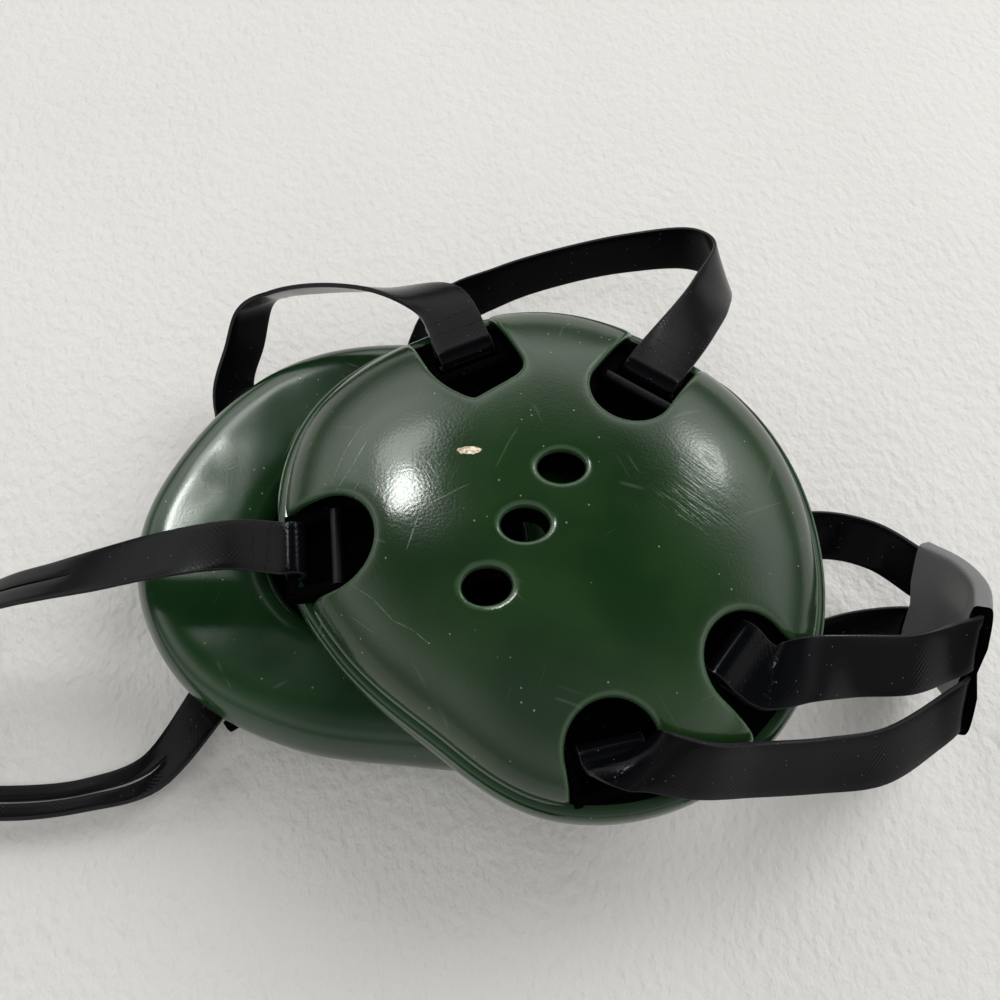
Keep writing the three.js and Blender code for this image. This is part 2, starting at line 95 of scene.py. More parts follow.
# %% [markdown]
# The camera comes first. The photograph looks down from about 66 degrees above the table, from close by,
# and its frame is square.

# %% Camera
CAMERA_PLACE = Vector((0, -93.55, 265.1))
CAMERA_TILT = 24

bpy.ops.object.camera_add(
    location=(CAMERA_PLACE + SHIFT) * MM,
    rotation=(math.radians(CAMERA_TILT), 0, 0),
)
camera = bpy.context.object
camera.name = "photo_camera"
camera.data.lens = 36
camera.data.sensor_width = 36
camera.data.clip_start = 0.01
bpy.context.scene.camera = camera
print("camera stands", round((CAMERA_PLACE - LEFT_CUP).length), "mm from the left cup")

# %% [markdown]
# A few helpers do what a modeller's hands repeat: pick one object, put a modifier on and apply it, read the
# points of a mesh, and put them back after a small push.

# %% Helpers for modelling
def pick(obj):
    """Selects one object alone and makes it active."""
    bpy.ops.object.select_all(action="DESELECT")
    obj.select_set(True)
    bpy.context.view_layer.objects.active = obj


def use_modifier(obj, kind, **settings):
    """Adds a modifier with its settings and applies it."""
    pick(obj)
    bpy.ops.object.modifier_add(type=kind)
    modifier = obj.modifiers[-1]
    for name, value in settings.items():
        setattr(modifier, name, value)
    bpy.ops.object.modifier_apply(modifier=modifier.name)


def read_points(obj):
    points = np.zeros(len(obj.data.vertices) * 3)
    obj.data.vertices.foreach_get("co", points)
    return points.reshape(-1, 3)


def write_points(obj, points):
    obj.data.vertices.foreach_set("co", np.ascontiguousarray(points, dtype=np.float64).ravel())
    obj.data.update()


def edit(obj, selected="SELECT"):
    """Opens one object's mesh for editing, with all of it or nothing selected."""
    pick(obj)
    bpy.ops.object.mode_set(mode="EDIT")
    bpy.ops.mesh.select_all(action=selected)


def face_outwards(obj, doubles=0.0001):
    """Merges doubled points and turns every face outwards."""
    edit(obj)
    bpy.ops.mesh.remove_doubles(threshold=doubles)
    bpy.ops.mesh.normals_make_consistent(inside=False)
    bpy.ops.object.mode_set(mode="OBJECT")


def copy_of(obj, name):
    """A copy with a mesh of its own."""
    pick(obj)
    bpy.ops.object.duplicate()
    copy = bpy.context.object
    copy.name = name
    copy.data.name = name
    return copy


def join(objs, name):
    bpy.ops.object.select_all(action="DESELECT")
    for obj in objs:
        obj.select_set(True)
    bpy.context.view_layer.objects.active = objs[0]
    if len(objs) > 1:
        bpy.ops.object.join()
    objs[0].name = name
    objs[0].data.name = name
    return objs[0]


def smooth(obj, degrees=None):
    """Shades an object smooth, all over or only across edges that bend less than an angle."""
    pick(obj)
    if degrees is None:
        bpy.ops.object.shade_smooth()
    else:
        bpy.ops.object.shade_smooth_by_angle(angle=math.radians(degrees))


def report(obj, unit=MM):
    """Prints an object's triangles and its size, for a mesh whose millimetre is this long."""
    faces = sum(len(p.vertices) - 2 for p in obj.data.polygons)
    print(f"{obj.name}: {faces} triangles, {[round(v / unit, 1) for v in obj.dimensions]} mm")


# %% [markdown]
# A cup is drawn once, dome up, with its seam at height 0 and one unit to the millimetre. A finished cup
# piece is then scaled to metres and moved to its place.
# The right cup is the left one mirrored through the seam and turned, because it lies with its dome down.

# %% Put a cup's piece in its place
DRAWN = 1
SEAM_DOUBLES = 0.000001


def cup_matrix(side):
    """The place of a cup's drawing in the frame, in metres."""
    if side == "left":
        return Matrix.Translation((LEFT_CUP + SHIFT) * MM) @ Matrix.Scale(MM, 4)
    turned = Matrix.Rotation(math.radians(RIGHT_CUP_TURN), 4, "Z")
    flipped = Matrix.Diagonal((MM, MM, -MM, 1))
    return Matrix.Translation((RIGHT_CUP + SHIFT) * MM) @ turned @ flipped


def place_in_cup(obj, side):
    """Moves a piece from the cup's drawing to its place, and leaves its object at the origin."""
    pick(obj)
    obj.matrix_world = cup_matrix(side)
    bpy.ops.object.transform_apply(location=True, rotation=True, scale=True)
    if side == "right":
        face_outwards(obj, SEAM_DOUBLES)
    return obj


print("left seam at", round(cup_matrix("left").translation.z / MM, 2), "mm over the table")

# %% [markdown]
# The dome starts as a circle of 120 points. Its rim is extruded inwards ring by ring and closed at the
# middle, and then every ring is lifted to the dome's curve. A spin would give a round dome, but this one
# follows the ear-shaped outline, so the rings are pulled to it.

# %% Shape a dome
DOME_AROUND = 120
DOME_RINGS = (0.995, 0.98, 0.955, 0.92, 0.87, 0.81, 0.73, 0.64, 0.53, 0.41, 0.28, 0.14)


def dome_sheet(name, around, rings):
    """A flat unit disc of rings, ready to be pulled to an outline."""
    bpy.ops.object.select_all(action="DESELECT")
    bpy.ops.mesh.primitive_circle_add(vertices=around, radius=1)
    sheet = bpy.context.object
    sheet.name = name
    edit(sheet)
    before = 1
    for ring in rings:
        bpy.ops.mesh.extrude_edges_move()
        bpy.ops.transform.resize(value=(ring / before, ring / before, 1))
        before = ring
    bpy.ops.mesh.extrude_edges_move()
    bpy.ops.mesh.merge(type="CENTER")
    bpy.ops.object.mode_set(mode="OBJECT")
    return sheet


def lift_to_dome(sheet, inset, height):
    """Pulls the disc's points out to the cup's outline and up to the dome's curve."""
    points = read_points(sheet)
    share = np.minimum(np.hypot(points[:, 0], points[:, 1]), 1)
    angle = np.arctan2(points[:, 1], points[:, 0])
    radius = share * (outline_radius(np.degrees(angle)) - inset)
    z = height * np.sqrt(1 - share ** DOME_POWER)
    write_points(sheet, np.column_stack((radius * np.cos(angle), radius * np.sin(angle), z)))


shell = dome_sheet("shell", DOME_AROUND, DOME_RINGS)
lift_to_dome(shell, SHELL_INSET, DOME_HEIGHT)
face_outwards(shell)
use_modifier(shell, "SOLIDIFY", thickness=SHELL_WALL, offset=-1, use_even_offset=True)
report(shell, DRAWN)

# %% [markdown]
# The straps leave the cup by five notches, and three oval vents let sound in. A notch's row gives its
# direction in degrees and, from the cup's middle, its inner end and its first bar, then the bars' pitch, its
# width, and which bar the strap turns round. The forehead's notch comes to a point between two shoulders,
# and the crown's round end has an edge of its own: its inner end, its width and how far it lies to one side.
# Each is cut with a cutter, a cylinder whose points are pulled out to the notch's or the vent's edge.

# %% Cut the notches and vents
NOTCHES = {
    "chin": {"at": 186, "inner": 38, "bar": 47, "pitch": 11, "width": 21, "looped": 1},
    "forehead": {"at": 114, "inner": 31.5, "bar": 42.5, "pitch": 7.5, "width": 20.5, "looped": 1,
                 "point": (31.2, 4.4), "shoulders": ((33.4, -8), (37.6, 9.6))},
    "crown": {"at": 57, "inner": 27.5, "bar": 38.5, "pitch": 7.5, "width": 20.5, "looped": 1,
              "edge": (26.2, 18.8, 0.9)},
    "rear_upper": {"at": 322, "inner": 41, "bar": 47.5, "pitch": 7.5, "width": 20, "looped": 0},
    "rear_lower": {"at": 283, "inner": 41, "bar": 50.5, "pitch": 7.5, "width": 19.5, "looped": 0},
}
VENT_MIDDLE = (-5.8, -4.4)
VENT_PITCH = 15.4
VENT_SLANT = 59
VENT_HALF = (5.2, 4)
CUTTER_SIDES = 48
SOFT_CUTTER_SIDES = 72
BEYOND_RIM = 40
CUTTER_REACH = 30
HALVINGS = 24
POINT_ROUNDING = 0.9
SHOULDER_ROUNDING = 5


def vent_places():
    """The middles of the three vents, on one slanting line."""
    slant = math.radians(VENT_SLANT)
    steps = [step * VENT_PITCH for step in (-1, 0, 1)]
    return [(VENT_MIDDLE[0] + s * math.cos(slant), VENT_MIDDLE[1] + s * math.sin(slant)) for s in steps]


def notch_middle(notch):
    """The middle of the notch's round end, its half width, and how far it lies to one side."""
    inner, width, side = notch.get("edge", (notch["inner"], notch["width"], 0))
    return inner + width / 2, width / 2, side


def into_notch(x, y, notch):
    """How deep places lie inside a notch, seen from above and turned to its direction."""
    middle, half, side = notch_middle(notch)
    depth = half - np.where(x > middle, np.abs(y - side), np.hypot(x - middle, y - side))
    if "point" in notch:
        sides = []
        px, py = notch["point"]
        for sx, sy in notch["shoulders"]:
            length = math.hypot(sx - px, sy - py)
            sides.append(((y - py) * math.copysign(sx - px, sy - py) - (x - px) * abs(sy - py)) / length)
        pointed = smooth_max(*sides, POINT_ROUNDING)
        depth = -smooth_max(np.abs(y) - half, pointed, SHOULDER_ROUNDING)
    return depth


def smooth_max(a, b, rounding):
    """The greater of two distances, rounded where they are close."""
    near = np.maximum(rounding - np.abs(a - b), 0) / rounding
    return np.maximum(a, b) + near * near * rounding / 4


def set_cutter(cutter, points, middle, notch):
    """Moves a cutter's points out to a notch's middle, up through the dome and round to the notch."""
    points[:, 0] += middle
    points[:, 2] += DOME_HEIGHT / 2
    turn = Matrix.Rotation(math.radians(notch["at"]), 3, "Z")
    write_points(cutter, points @ np.array(turn).T)
    return cutter


def soft_notch_cutter(notch):
    """A cutter with the notch's own soft shape, whose edge is found by halving the way out to it."""
    middle = notch_middle(notch)[0]
    bpy.ops.object.select_all(action="DESELECT")
    bpy.ops.mesh.primitive_cylinder_add(vertices=SOFT_CUTTER_SIDES, radius=1, depth=2 * DOME_HEIGHT)
    cutter = bpy.context.object
    points = read_points(cutter)
    low, high = np.zeros(len(points)), np.full(len(points), float(CUTTER_REACH))
    for _ in range(HALVINGS):
        reach = (low + high) / 2
        inside = into_notch(middle + points[:, 0] * reach, points[:, 1] * reach, notch) > 0
        low, high = np.where(inside, reach, low), np.where(inside, high, reach)
    points[:, 0] *= low
    points[:, 1] *= low
    return set_cutter(cutter, points, middle, notch)


def notch_cutter(notch, narrower):
    """A plain cutter for the liner, narrower than the notch by this much on each side."""
    half = notch["width"] / 2 - narrower
    middle = notch["inner"] + half - 2 * narrower
    bpy.ops.object.select_all(action="DESELECT")
    bpy.ops.mesh.primitive_cylinder_add(vertices=CUTTER_SIDES, radius=half, depth=2 * DOME_HEIGHT)
    cutter = bpy.context.object
    points = read_points(cutter)
    points[points[:, 0] > 0.01, 0] += BEYOND_RIM
    return set_cutter(cutter, points, middle, notch)


def vent_cutter(place, scale=1.0):
    bpy.ops.object.select_all(action="DESELECT")
    bpy.ops.mesh.primitive_cylinder_add(
        vertices=CUTTER_SIDES, radius=1, depth=2 * DOME_HEIGHT,
        location=(place[0], place[1], DOME_HEIGHT / 2),
        scale=(VENT_HALF[0] * scale, VENT_HALF[1] * scale, 1),
    )
    cutter = bpy.context.object
    bpy.ops.object.transform_apply(location=True, rotation=True, scale=True)
    return cutter


def cut(obj, cutters):
    for cutter in cutters:
        use_modifier(obj, "BOOLEAN", operation="DIFFERENCE", object=cutter, solver="EXACT")
        bpy.data.objects.remove(cutter)


cut(shell, [soft_notch_cutter(notch) for notch in NOTCHES.values()])
cut(shell, [vent_cutter(place) for place in vent_places()])
report(shell, DRAWN)

# %% [markdown]
# A moulded vinyl skin has no sharp edge: it rolls softly into each notch and vent, and thins to a fine lip
# there. A bevel fails on edges this uneven, so the cut shell is remeshed into even faces, and each point is
# then settled on the surface that the mould has: the dome, less the notches and vents, with every meeting
# of two surfaces rounded.

# %% Round the shell's edges
SHELL_VOXEL = 0.7
NOTCH_ROUNDING = 1.3
VENT_ROUNDING = 1.1
INNER_ROUNDING = 0.4
RIM_ROUNDING = 1
LEAST_SLOPE = 0.02
LEAST_STEEPNESS = 0.05
ROLL_DEPTH = 0.18
ROLL_REACH = 1.7
VENT_ROLL_DEPTH = 0.2
VENT_ROLL_REACH = 1.1


def dome_distance(points, inset, height):
    """About how far points lie outside a dome of this inset and height."""
    flat = np.hypot(points[:, 0], points[:, 1])
    rim = outline_radius(np.degrees(np.arctan2(points[:, 1], points[:, 0]))) - inset
    share = flat / rim
    up = np.maximum(points[:, 2], 0) / height
    slope = np.hypot(2 * up / height, DOME_POWER * share ** (DOME_POWER - 1) / rim)
    return (up ** 2 + share ** DOME_POWER - 1) / np.maximum(slope, LEAST_SLOPE)


def turned_into_notch(points, notch):
    """How deep points of the cup lie inside a notch; negative outside it."""
    turn = math.radians(notch["at"])
    x = points[:, 0] * math.cos(turn) + points[:, 1] * math.sin(turn)
    y = points[:, 1] * math.cos(turn) - points[:, 0] * math.sin(turn)
    return into_notch(x, y, notch)


def into_vent(points, place):
    """About how deep points of the cup lie inside a vent; negative outside it."""
    around = np.hypot((points[:, 0] - place[0]) / VENT_HALF[0], (points[:, 1] - place[1]) / VENT_HALF[1])
    return (1 - around) * VENT_HALF[1]


def shell_distance(points):
    """About how far points lie outside the moulded skin, with its notches, vents and rolled lips."""
    notches = [turned_into_notch(points, notch) for notch in NOTCHES.values()]
    vents = [into_vent(points, place) for place in vent_places()]
    outer = dome_distance(points, SHELL_INSET, DOME_HEIGHT)
    for depth in notches:
        outer = outer + ROLL_DEPTH * np.exp(-(depth / ROLL_REACH) ** 2)
    for depth in vents:
        outer = outer + VENT_ROLL_DEPTH * np.exp(-(depth / VENT_ROLL_REACH) ** 2)
    inner = -dome_distance(points, SHELL_INSET + SHELL_WALL, DOME_HEIGHT - SHELL_WALL)
    result = smooth_max(outer, inner, INNER_ROUNDING)
    for depth in notches:
        result = smooth_max(result, depth, NOTCH_ROUNDING)
    for depth in vents:
        result = smooth_max(result, depth, VENT_ROUNDING)
    return smooth_max(result, -points[:, 2], RIM_ROUNDING)


def settle(obj, distance, rounds=8, step=0.05, most=0.5):
    """Moves each point along the surface's slope until its distance is nothing, a limited way each round."""
    points = read_points(obj)
    for _ in range(rounds):
        value = distance(points)
        slope = np.zeros_like(points)
        for axis in range(3):
            push = np.zeros(3)
            push[axis] = step
            slope[:, axis] = (distance(points + push) - distance(points - push)) / (2 * step)
        steepness = np.maximum(np.sum(slope ** 2, axis=1), LEAST_STEEPNESS)
        move = -(value / steepness)[:, None] * slope
        size = np.linalg.norm(move, axis=1)
        move *= np.minimum(1, most / np.maximum(size, 1e-9))[:, None]
        points += move
    write_points(obj, points)
    print(f"{obj.name}: points lie within {np.percentile(np.abs(distance(points)), 99):.3f} mm of the mould")


def lay_lip_map(obj):
    """Writes how deep each point lies inside its nearest notch or vent, in metres, as a UV map."""
    points = read_points(obj)
    depths = [turned_into_notch(points, notch) for notch in NOTCHES.values()]
    depths += [into_vent(points, place) for place in vent_places()]
    nearest = np.maximum.reduce(depths) * MM
    lip = obj.data.uv_layers.new(name="lip")
    for loop in obj.data.loops:
        lip.data[loop.index].uv = (nearest[loop.vertex_index], 0)


use_modifier(shell, "REMESH", mode="VOXEL", voxel_size=SHELL_VOXEL, use_smooth_shade=True)
settle(shell, shell_distance)
smooth(shell)
lay_lip_map(shell)
report(shell, DRAWN)

# %% [markdown]
# Where the two halves of the mould met, a fine flash of vinyl runs round the rim, and the light catches it:
# its paler green is a painted highlight.
# A finer line runs below it, on the ring. Each is a thin bead in five lengths, one between each notch and
# the next. A length is a tube: a circle extruded into rings, whose points are then laid along the rim.

# %% Lay the bead round the rim
BEADS = (
    {"inset": SHELL_INSET, "height": 0.6, "radius": 0.42},
    {"inset": 0.75, "height": -1.3, "radius": 0.3},
)
BEAD_SIDES = 8
BEAD_FROM_NOTCH = 1.5
BEAD_STEP = 1.5
BEAD_LEAST_STEPS = 8
BEAD_TIP = 0.15
BEAD_TIP_LENGTH = 4.8


def rim_spans():
    """The stretches of rim between the notches, as pairs of degrees."""
    spans = []
    order = sorted(NOTCHES.values(), key=lambda notch: notch["at"])
    for notch, following in zip(order, order[1:] + order[:1]):
        edges = []
        for which, sign in ((notch, 1), (following, -1)):
            rim = float(outline_radius(which["at"])) - SHELL_INSET
            reach = math.degrees(math.asin((which["width"] / 2 + BEAD_FROM_NOTCH) / rim))
            edges.append(which["at"] + sign * reach)
        start, end = edges
        spans.append((start, end if end > start else end + 360))
    return spans


def tube(name, rings, sides, close_ends=True):
    """A tube of rings, each an array of the places of its points."""
    bpy.ops.object.select_all(action="DESELECT")
    bpy.ops.mesh.primitive_circle_add(vertices=sides, radius=1)
    obj = bpy.context.object
    obj.name = name
    edit(obj)
    for _ in range(len(rings) - 1):
        bpy.ops.mesh.extrude_edges_move(TRANSFORM_OT_translate={"value": (0, 0, 1)})
    bpy.ops.object.mode_set(mode="OBJECT")
    points = read_points(obj)
    ring = np.rint(points[:, 2]).astype(int)
    corner = np.rint(np.degrees(np.arctan2(points[:, 1], points[:, 0])) / (360 / sides)).astype(int) % sides
    write_points(obj, np.array(rings)[ring, corner])
    if close_ends:
        edit(obj, "DESELECT")
        bpy.ops.mesh.select_non_manifold()
        bpy.ops.mesh.edge_face_add()
        bpy.ops.object.mode_set(mode="OBJECT")
    face_outwards(obj, doubles=0.00001)
    return obj


def bead_rings(start, end, inset, height, radius):
    """The rings of one length of bead, which thins to a tip at both ends."""
    rings = []
    steps = max(BEAD_LEAST_STEPS, int((end - start) / BEAD_STEP))
    for k in range(steps + 1):
        degrees = start + (end - start) * k / steps
        turn = math.radians(degrees)
        rim = float(outline_radius(degrees)) - inset
        from_tip = min(k, steps - k) / steps * (end - start)
        thin = radius * min(1, BEAD_TIP + from_tip / BEAD_TIP_LENGTH)
        ring = []
        for side in range(BEAD_SIDES):
            around = 2 * math.pi * side / BEAD_SIDES
            out = rim + thin * math.cos(around)
            ring.append((out * math.cos(turn), out * math.sin(turn), height + thin * math.sin(around)))
        rings.append(ring)
    return rings


beads = [tube("bead", bead_rings(*span, **line), BEAD_SIDES) for span in rim_spans() for line in BEADS]
bead = join(beads, "rim_bead")
smooth(bead)
report(bead, DRAWN)

# %% [markdown]
# The ring under the dome is foam inside a vinyl skin, soft enough to seal round an ear. A circle is extruded
# through the rows of its section, the last ring is bridged to the first, and a subdivision surface rounds
# it. A row places a ring by its inset from the outline, or else by its share of the outline's radius, and by
# its height. The outer side bulges, and the face is flat where it rests on the other ring.

# %% Make the padded ring
PAD_SECTION = (
    (2.6, None, -0.3), (1.2, None, -0.7), (0.35, None, -2.2), (0, None, -4.5), (0.15, None, -7),
    (0.8, None, -9.8), (2, None, -12.8), (4, None, -15.3), (6.6, None, -16.6), (9.6, None, -17),
    (12, None, -17),
    (None, 0.62, -17), (None, 0.575, -16.9), (None, 0.53, -16.1), (None, 0.495, -13.6), (None, 0.48, -10),
    (None, 0.48, -6.5), (None, 0.495, -3), (None, 0.515, -0.8), (None, 0.54, -0.3),
    (None, 0.7, -0.3), (None, 0.85, -0.3),
)
PAD_AROUND = 72


def pad_rings():
    """The ring of points for each row of the pad's section."""
    degrees = np.arange(PAD_AROUND) * 360 / PAD_AROUND
    outer = outline_radius(degrees)
    rings = []
    for inset, share, height in PAD_SECTION:
        radius = outer - inset if share is None else outer * share
        turn = np.radians(degrees)
        up = np.full_like(radius, height)
        rings.append(np.column_stack((radius * np.cos(turn), radius * np.sin(turn), up)))
    return rings


pad = tube("pad", pad_rings(), PAD_AROUND, close_ends=False)
edit(pad, "DESELECT")
bpy.ops.mesh.select_non_manifold()
bpy.ops.mesh.bridge_edge_loops()
bpy.ops.object.mode_set(mode="OBJECT")
face_outwards(pad, doubles=0.001)
use_modifier(pad, "SUBSURF", levels=2, render_levels=2)
smooth(pad)
report(pad, DRAWN)

# %% [markdown]
# Inside the cup a black moulded frame holds the straps. Each notch shows two cheeks with two round bars
# between them, like a short ladder, and the vents show the liner behind them. The strap runs over the bars
# on a slope, so the ladder takes its slope from where the strap crosses the rim. The two bars that the
# light reaches are a piece of their own, because they shine a little.

# %% Make the strap ladders
GAP = 0.3
BAR_RADIUS = 1.2
BAR_SIDES = 24
BAR_BELOW_DOME = 5.5
CHEEK_CLEARANCE = 0.5
CHEEK_TO_STRAP = 0.5
CHEEK_BEYOND_BAR = 1.6
CHEEK_OVER_BAR = 0.5
CHEEK_EDGE = 0.3
STRAP_WIDTH = 14
STRAP_ROOM = 1.6
STRAP_OVER_SEAM = 2.5
CHIN_OVER_SEAM = 4.4
BARS_IN_SIGHT = ("chin", "crown")
LINER_AROUND = 72
LINER_RINGS = (0.97, 0.9, 0.8, 0.65, 0.45, 0.2)
LINER_INSET = 9.5
LINER_HEIGHT = 13
LINER_WALL = 1.6
LINER_VENT_SCALE = 0.9
CREASE = 40


def bar_seat(name):
    """The first bar's place in the cup, and the slope that the strap runs out on."""
    notch = NOTCHES[name]
    rim = float(outline_radius(notch["at"]))
    radius = notch["bar"]
    share = radius / (rim - SHELL_INSET)
    height = DOME_HEIGHT * math.sqrt(1 - share ** DOME_POWER) - BAR_BELOW_DOME
    strap_height = height + BAR_RADIUS + GAP + STRAP_ROOM / 2
    over_seam = CHIN_OVER_SEAM if name == "chin" else STRAP_OVER_SEAM
    slope = math.atan2(strap_height - over_seam, rim - radius)
    turn = math.radians(notch["at"])
    outward = Vector((math.cos(slope) * math.cos(turn), math.cos(slope) * math.sin(turn), -math.sin(slope)))
    across = Vector((-math.sin(turn), math.cos(turn), 0))
    middle = Vector((radius * math.cos(turn), radius * math.sin(turn), height))
    return {"outward": outward, "across": across, "upward": outward.cross(across), "middle": middle,
            "slope": slope, "radius": radius, "pitch": notch["pitch"]}


def ladder_bar(seat, step, length):
    """A round bar across the notch: the first one at step 0, and the next at step 1."""
    bpy.ops.object.select_all(action="DESELECT")
    bpy.ops.mesh.primitive_cylinder_add(vertices=BAR_SIDES, radius=BAR_RADIUS, depth=length)
    bar = bpy.context.object
    axes = Matrix((seat["upward"], seat["outward"], seat["across"])).transposed().to_4x4()
    middle = seat["middle"] + seat["outward"] * step * seat["pitch"]
    bar.matrix_world = Matrix.Translation(middle) @ axes
    bpy.ops.object.transform_apply(location=True, rotation=True, scale=True)
    return bar


def ladder_cheek(notch, seat, start, wall):
    """An upright cheek: a cube whose upper corners follow the strap's slope."""
    near = seat["radius"] - CHEEK_BEYOND_BAR
    far = seat["radius"] + seat["pitch"] * math.cos(seat["slope"]) + CHEEK_BEYOND_BAR
    bpy.ops.object.select_all(action="DESELECT")
    bpy.ops.mesh.primitive_cube_add(size=1)
    cheek = bpy.context.object
    points = read_points(cheek)
    x = np.where(points[:, 0] > 0, far, near)
    top = seat["middle"].z - (x - seat["radius"]) * math.tan(seat["slope"]) + CHEEK_OVER_BAR
    z = np.where(points[:, 2] > 0, top, 0)
    y = start + wall * (points[:, 1] + 0.5)
    turn = math.radians(notch["at"])
    turned = (x * math.cos(turn) - y * math.sin(turn), x * math.sin(turn) + y * math.cos(turn), z)
    write_points(cheek, np.column_stack(turned))
    use_modifier(cheek, "BEVEL", width=CHEEK_EDGE, segments=3, limit_method="ANGLE")
    return cheek


def cheek_span(notch):
    """Half the span over a notch's two cheeks, and a cheek's wall."""
    half_span = notch["width"] / 2 - CHEEK_CLEARANCE
    return half_span, half_span - STRAP_WIDTH / 2 - CHEEK_TO_STRAP


def strap_ladder(name):
    """A notch's two bars and two cheeks."""
    notch = NOTCHES[name]
    seat = bar_seat(name)
    half_span, wall = cheek_span(notch)
    bars = [ladder_bar(seat, step, 2 * half_span - wall) for step in (0, 1)]
    cheeks = [ladder_cheek(notch, seat, start, wall) for start in (-half_span, half_span - wall)]
    return bars, cheeks


liner = dome_sheet("liner", LINER_AROUND, LINER_RINGS)
lift_to_dome(liner, LINER_INSET, LINER_HEIGHT)
face_outwards(liner)
use_modifier(liner, "SOLIDIFY", thickness=LINER_WALL, offset=-1)
cut(liner, [notch_cutter(notch, CHEEK_CLEARANCE + cheek_span(notch)[1] / 2) for notch in NOTCHES.values()])
cut(liner, [vent_cutter(place, LINER_VENT_SCALE) for place in vent_places()])
bars_in_sight, dark_bars, all_cheeks = [], [], []
for name in NOTCHES:
    bars, cheeks = strap_ladder(name)
    seen = 1 if name in BARS_IN_SIGHT else 0
    bars_in_sight += bars[:seen]
    dark_bars += bars[seen:]
    all_cheeks += cheeks
inner_frame = join([liner] + dark_bars + all_cheeks, "inner_frame")
strap_bars = join(bars_in_sight, "strap_bars")
for piece in (inner_frame, strap_bars):
    smooth(piece, CREASE)
    report(piece, DRAWN)

# %% [markdown]
# The right cup needs no modelling of its own. Each piece is copied, and each copy goes to its place.

# %% Place both cups
CUP_PIECES = {"shell": shell, "bead": bead, "pad": pad, "inner_frame": inner_frame, "strap_bars": strap_bars}
cups = {"left": {}, "right": {}}
for piece, drawn in CUP_PIECES.items():
    other = copy_of(drawn, f"right_cup_{piece}")
    drawn.name = f"left_cup_{piece}"
    drawn.data.name = drawn.name
    cups["left"][piece] = place_in_cup(drawn, "left")
    cups["right"][piece] = place_in_cup(other, "right")
print("cup pieces:", sorted(obj.name for cup in cups.values() for obj in cup.values()))

# %% [markdown]
# A strap is a flat band that bends and twists on its way. Its route is a table of rows: the middle of the
# band, and the direction of its width as an azimuth and an elevation. Each end turns round a bar inside a
# notch, and in three of the straps it comes back to lie doubled under the strap. A smooth curve runs through
# the rows, and half of the width's lean along the run is taken out, because webbing barely stretches
# sideways. The turn round a bar has rows too: how far out and up its places lie from the bar, and its run.

# %% The routes of the straps
FOREHEAD_ROWS = (
    (-15.4, 52.4, 59, 40, -8), (-30, 59, 54, 88, -52), (-46, 64, 48, 100, -60), (-60, 67, 41, 95, -59),
    (-68, 68.5, 33, 50, -42), (-72, 61, 25, 40, -40), (-75.6, 49.9, 18.2, 48, -27),
)
CROWN_ROWS = (
    (48, 48, 56, -15, -30), (55, 61, 50, -18, -40), (60, 76, 42, -55, -52), (54, 86, 36, -69, -70),
    (37, 90, 29, -71, -75), (18, 89, 24, -77, -76), (0, 85, 20, -60, -70), (-16, 76, 18, -30, -45),
)
CHIN_ROWS = (
    (-61, -10.8, 54.4, -74, 4), (-79, -12.2, 51, -80, 12), (-93, -14, 47, -74, 20), (-106, -15, 42, -68, 30),
    (-120, -16, 36, -70, 35), (-138, -20, 28, -78, 45), (-153, -29, 20, -85, 55), (-159, -42, 13, -85, 60),
    (-152, -54, 8, -80, 55), (-138, -60, 6.5, -70, 42), (-120, -61, 6, -62, 38), (-103, -59, 6.5, -56, 38),
    (-87, -54, 9, -50, 25),
)
REAR_UPPER_OUT_ROWS = (
    (63.3, -41.5, 61.9, -88, -22), (76, -39, 55, -86, -33), (91, -37, 49, -87, -32), (102, -33, 44, -88, -38),
)
REAR_UPPER_BACK_ROWS = ((99, 3, 18, -85, -48), (86, 7, 16, -80, -42), (62, 3, 15, -86, -20))
REAR_LOWER_OUT_ROWS = (
    (29.4, -60.9, 67.1, -137, -27), (40, -62.2, 62.8, -114, -44), (53, -60.6, 54.7, -96, -48),
    (69, -58.4, 46.2, -84, -46), (86, -55, 38, -83, -38), (101, -47, 32, -82, -42),
)
REAR_LOWER_BACK_ROWS = (
    (92, -19, 8, -88, -35), (70, -27, 5.4, -95, -30), (50, -40, 7, -110, -20), (34, -49, 12, -125, -8),
)
KEEPER_ROWS = ((108.5, -36, 38, -90, -46), (112.5, -28, 31, -90, -46), (112.5, -19, 22.5, -90, -46),
               (108, -12, 16, -90, -46))
KEEPER_WALL = 1.8
KEEPER_STEPS = 6
KEEPER_PITCH = STRAP_WIDTH + 2 * GAP + KEEPER_WALL
STRAP_THICKNESS = 1.1
SLIDES = {"chin": -1.3, "forehead": -0.6}
LOOP_ARM = 2.6
LAYER_GAP = 0.06
TAIL_FROM = 4.6
TAIL_TO = 13
TAIL_JOINTS = (0.2, 0.4, 0.6, 0.8)
DOUBLED_ENDS = ("forehead", "crown", "rear_upper")
SQUARING = 0.5
ROUTE_STEPS = 9
RUN_STEP = 0.0001
LOOP_STEPS = 12
LOOP_LEAD = 3
OVER_NEXT_BAR = ((1.8, 2.35, 0.93, -0.36), (3.8, 1.95, 1, 0.05), (5.6, 2.5, 0.95, 0.3))


def direction(azimuth, elevation):
    turn, lift = math.radians(azimuth), math.radians(elevation)
    return Vector((math.cos(lift) * math.cos(turn), math.cos(lift) * math.sin(turn), math.sin(lift)))


def station(middle, wide, along=None):
    return {"middle": Vector(middle), "wide": Vector(wide), "along": along}


def rows_to_stations(rows):
    return [station((x, y, z), direction(azimuth, elevation)) for x, y, z, azimuth, elevation in rows]


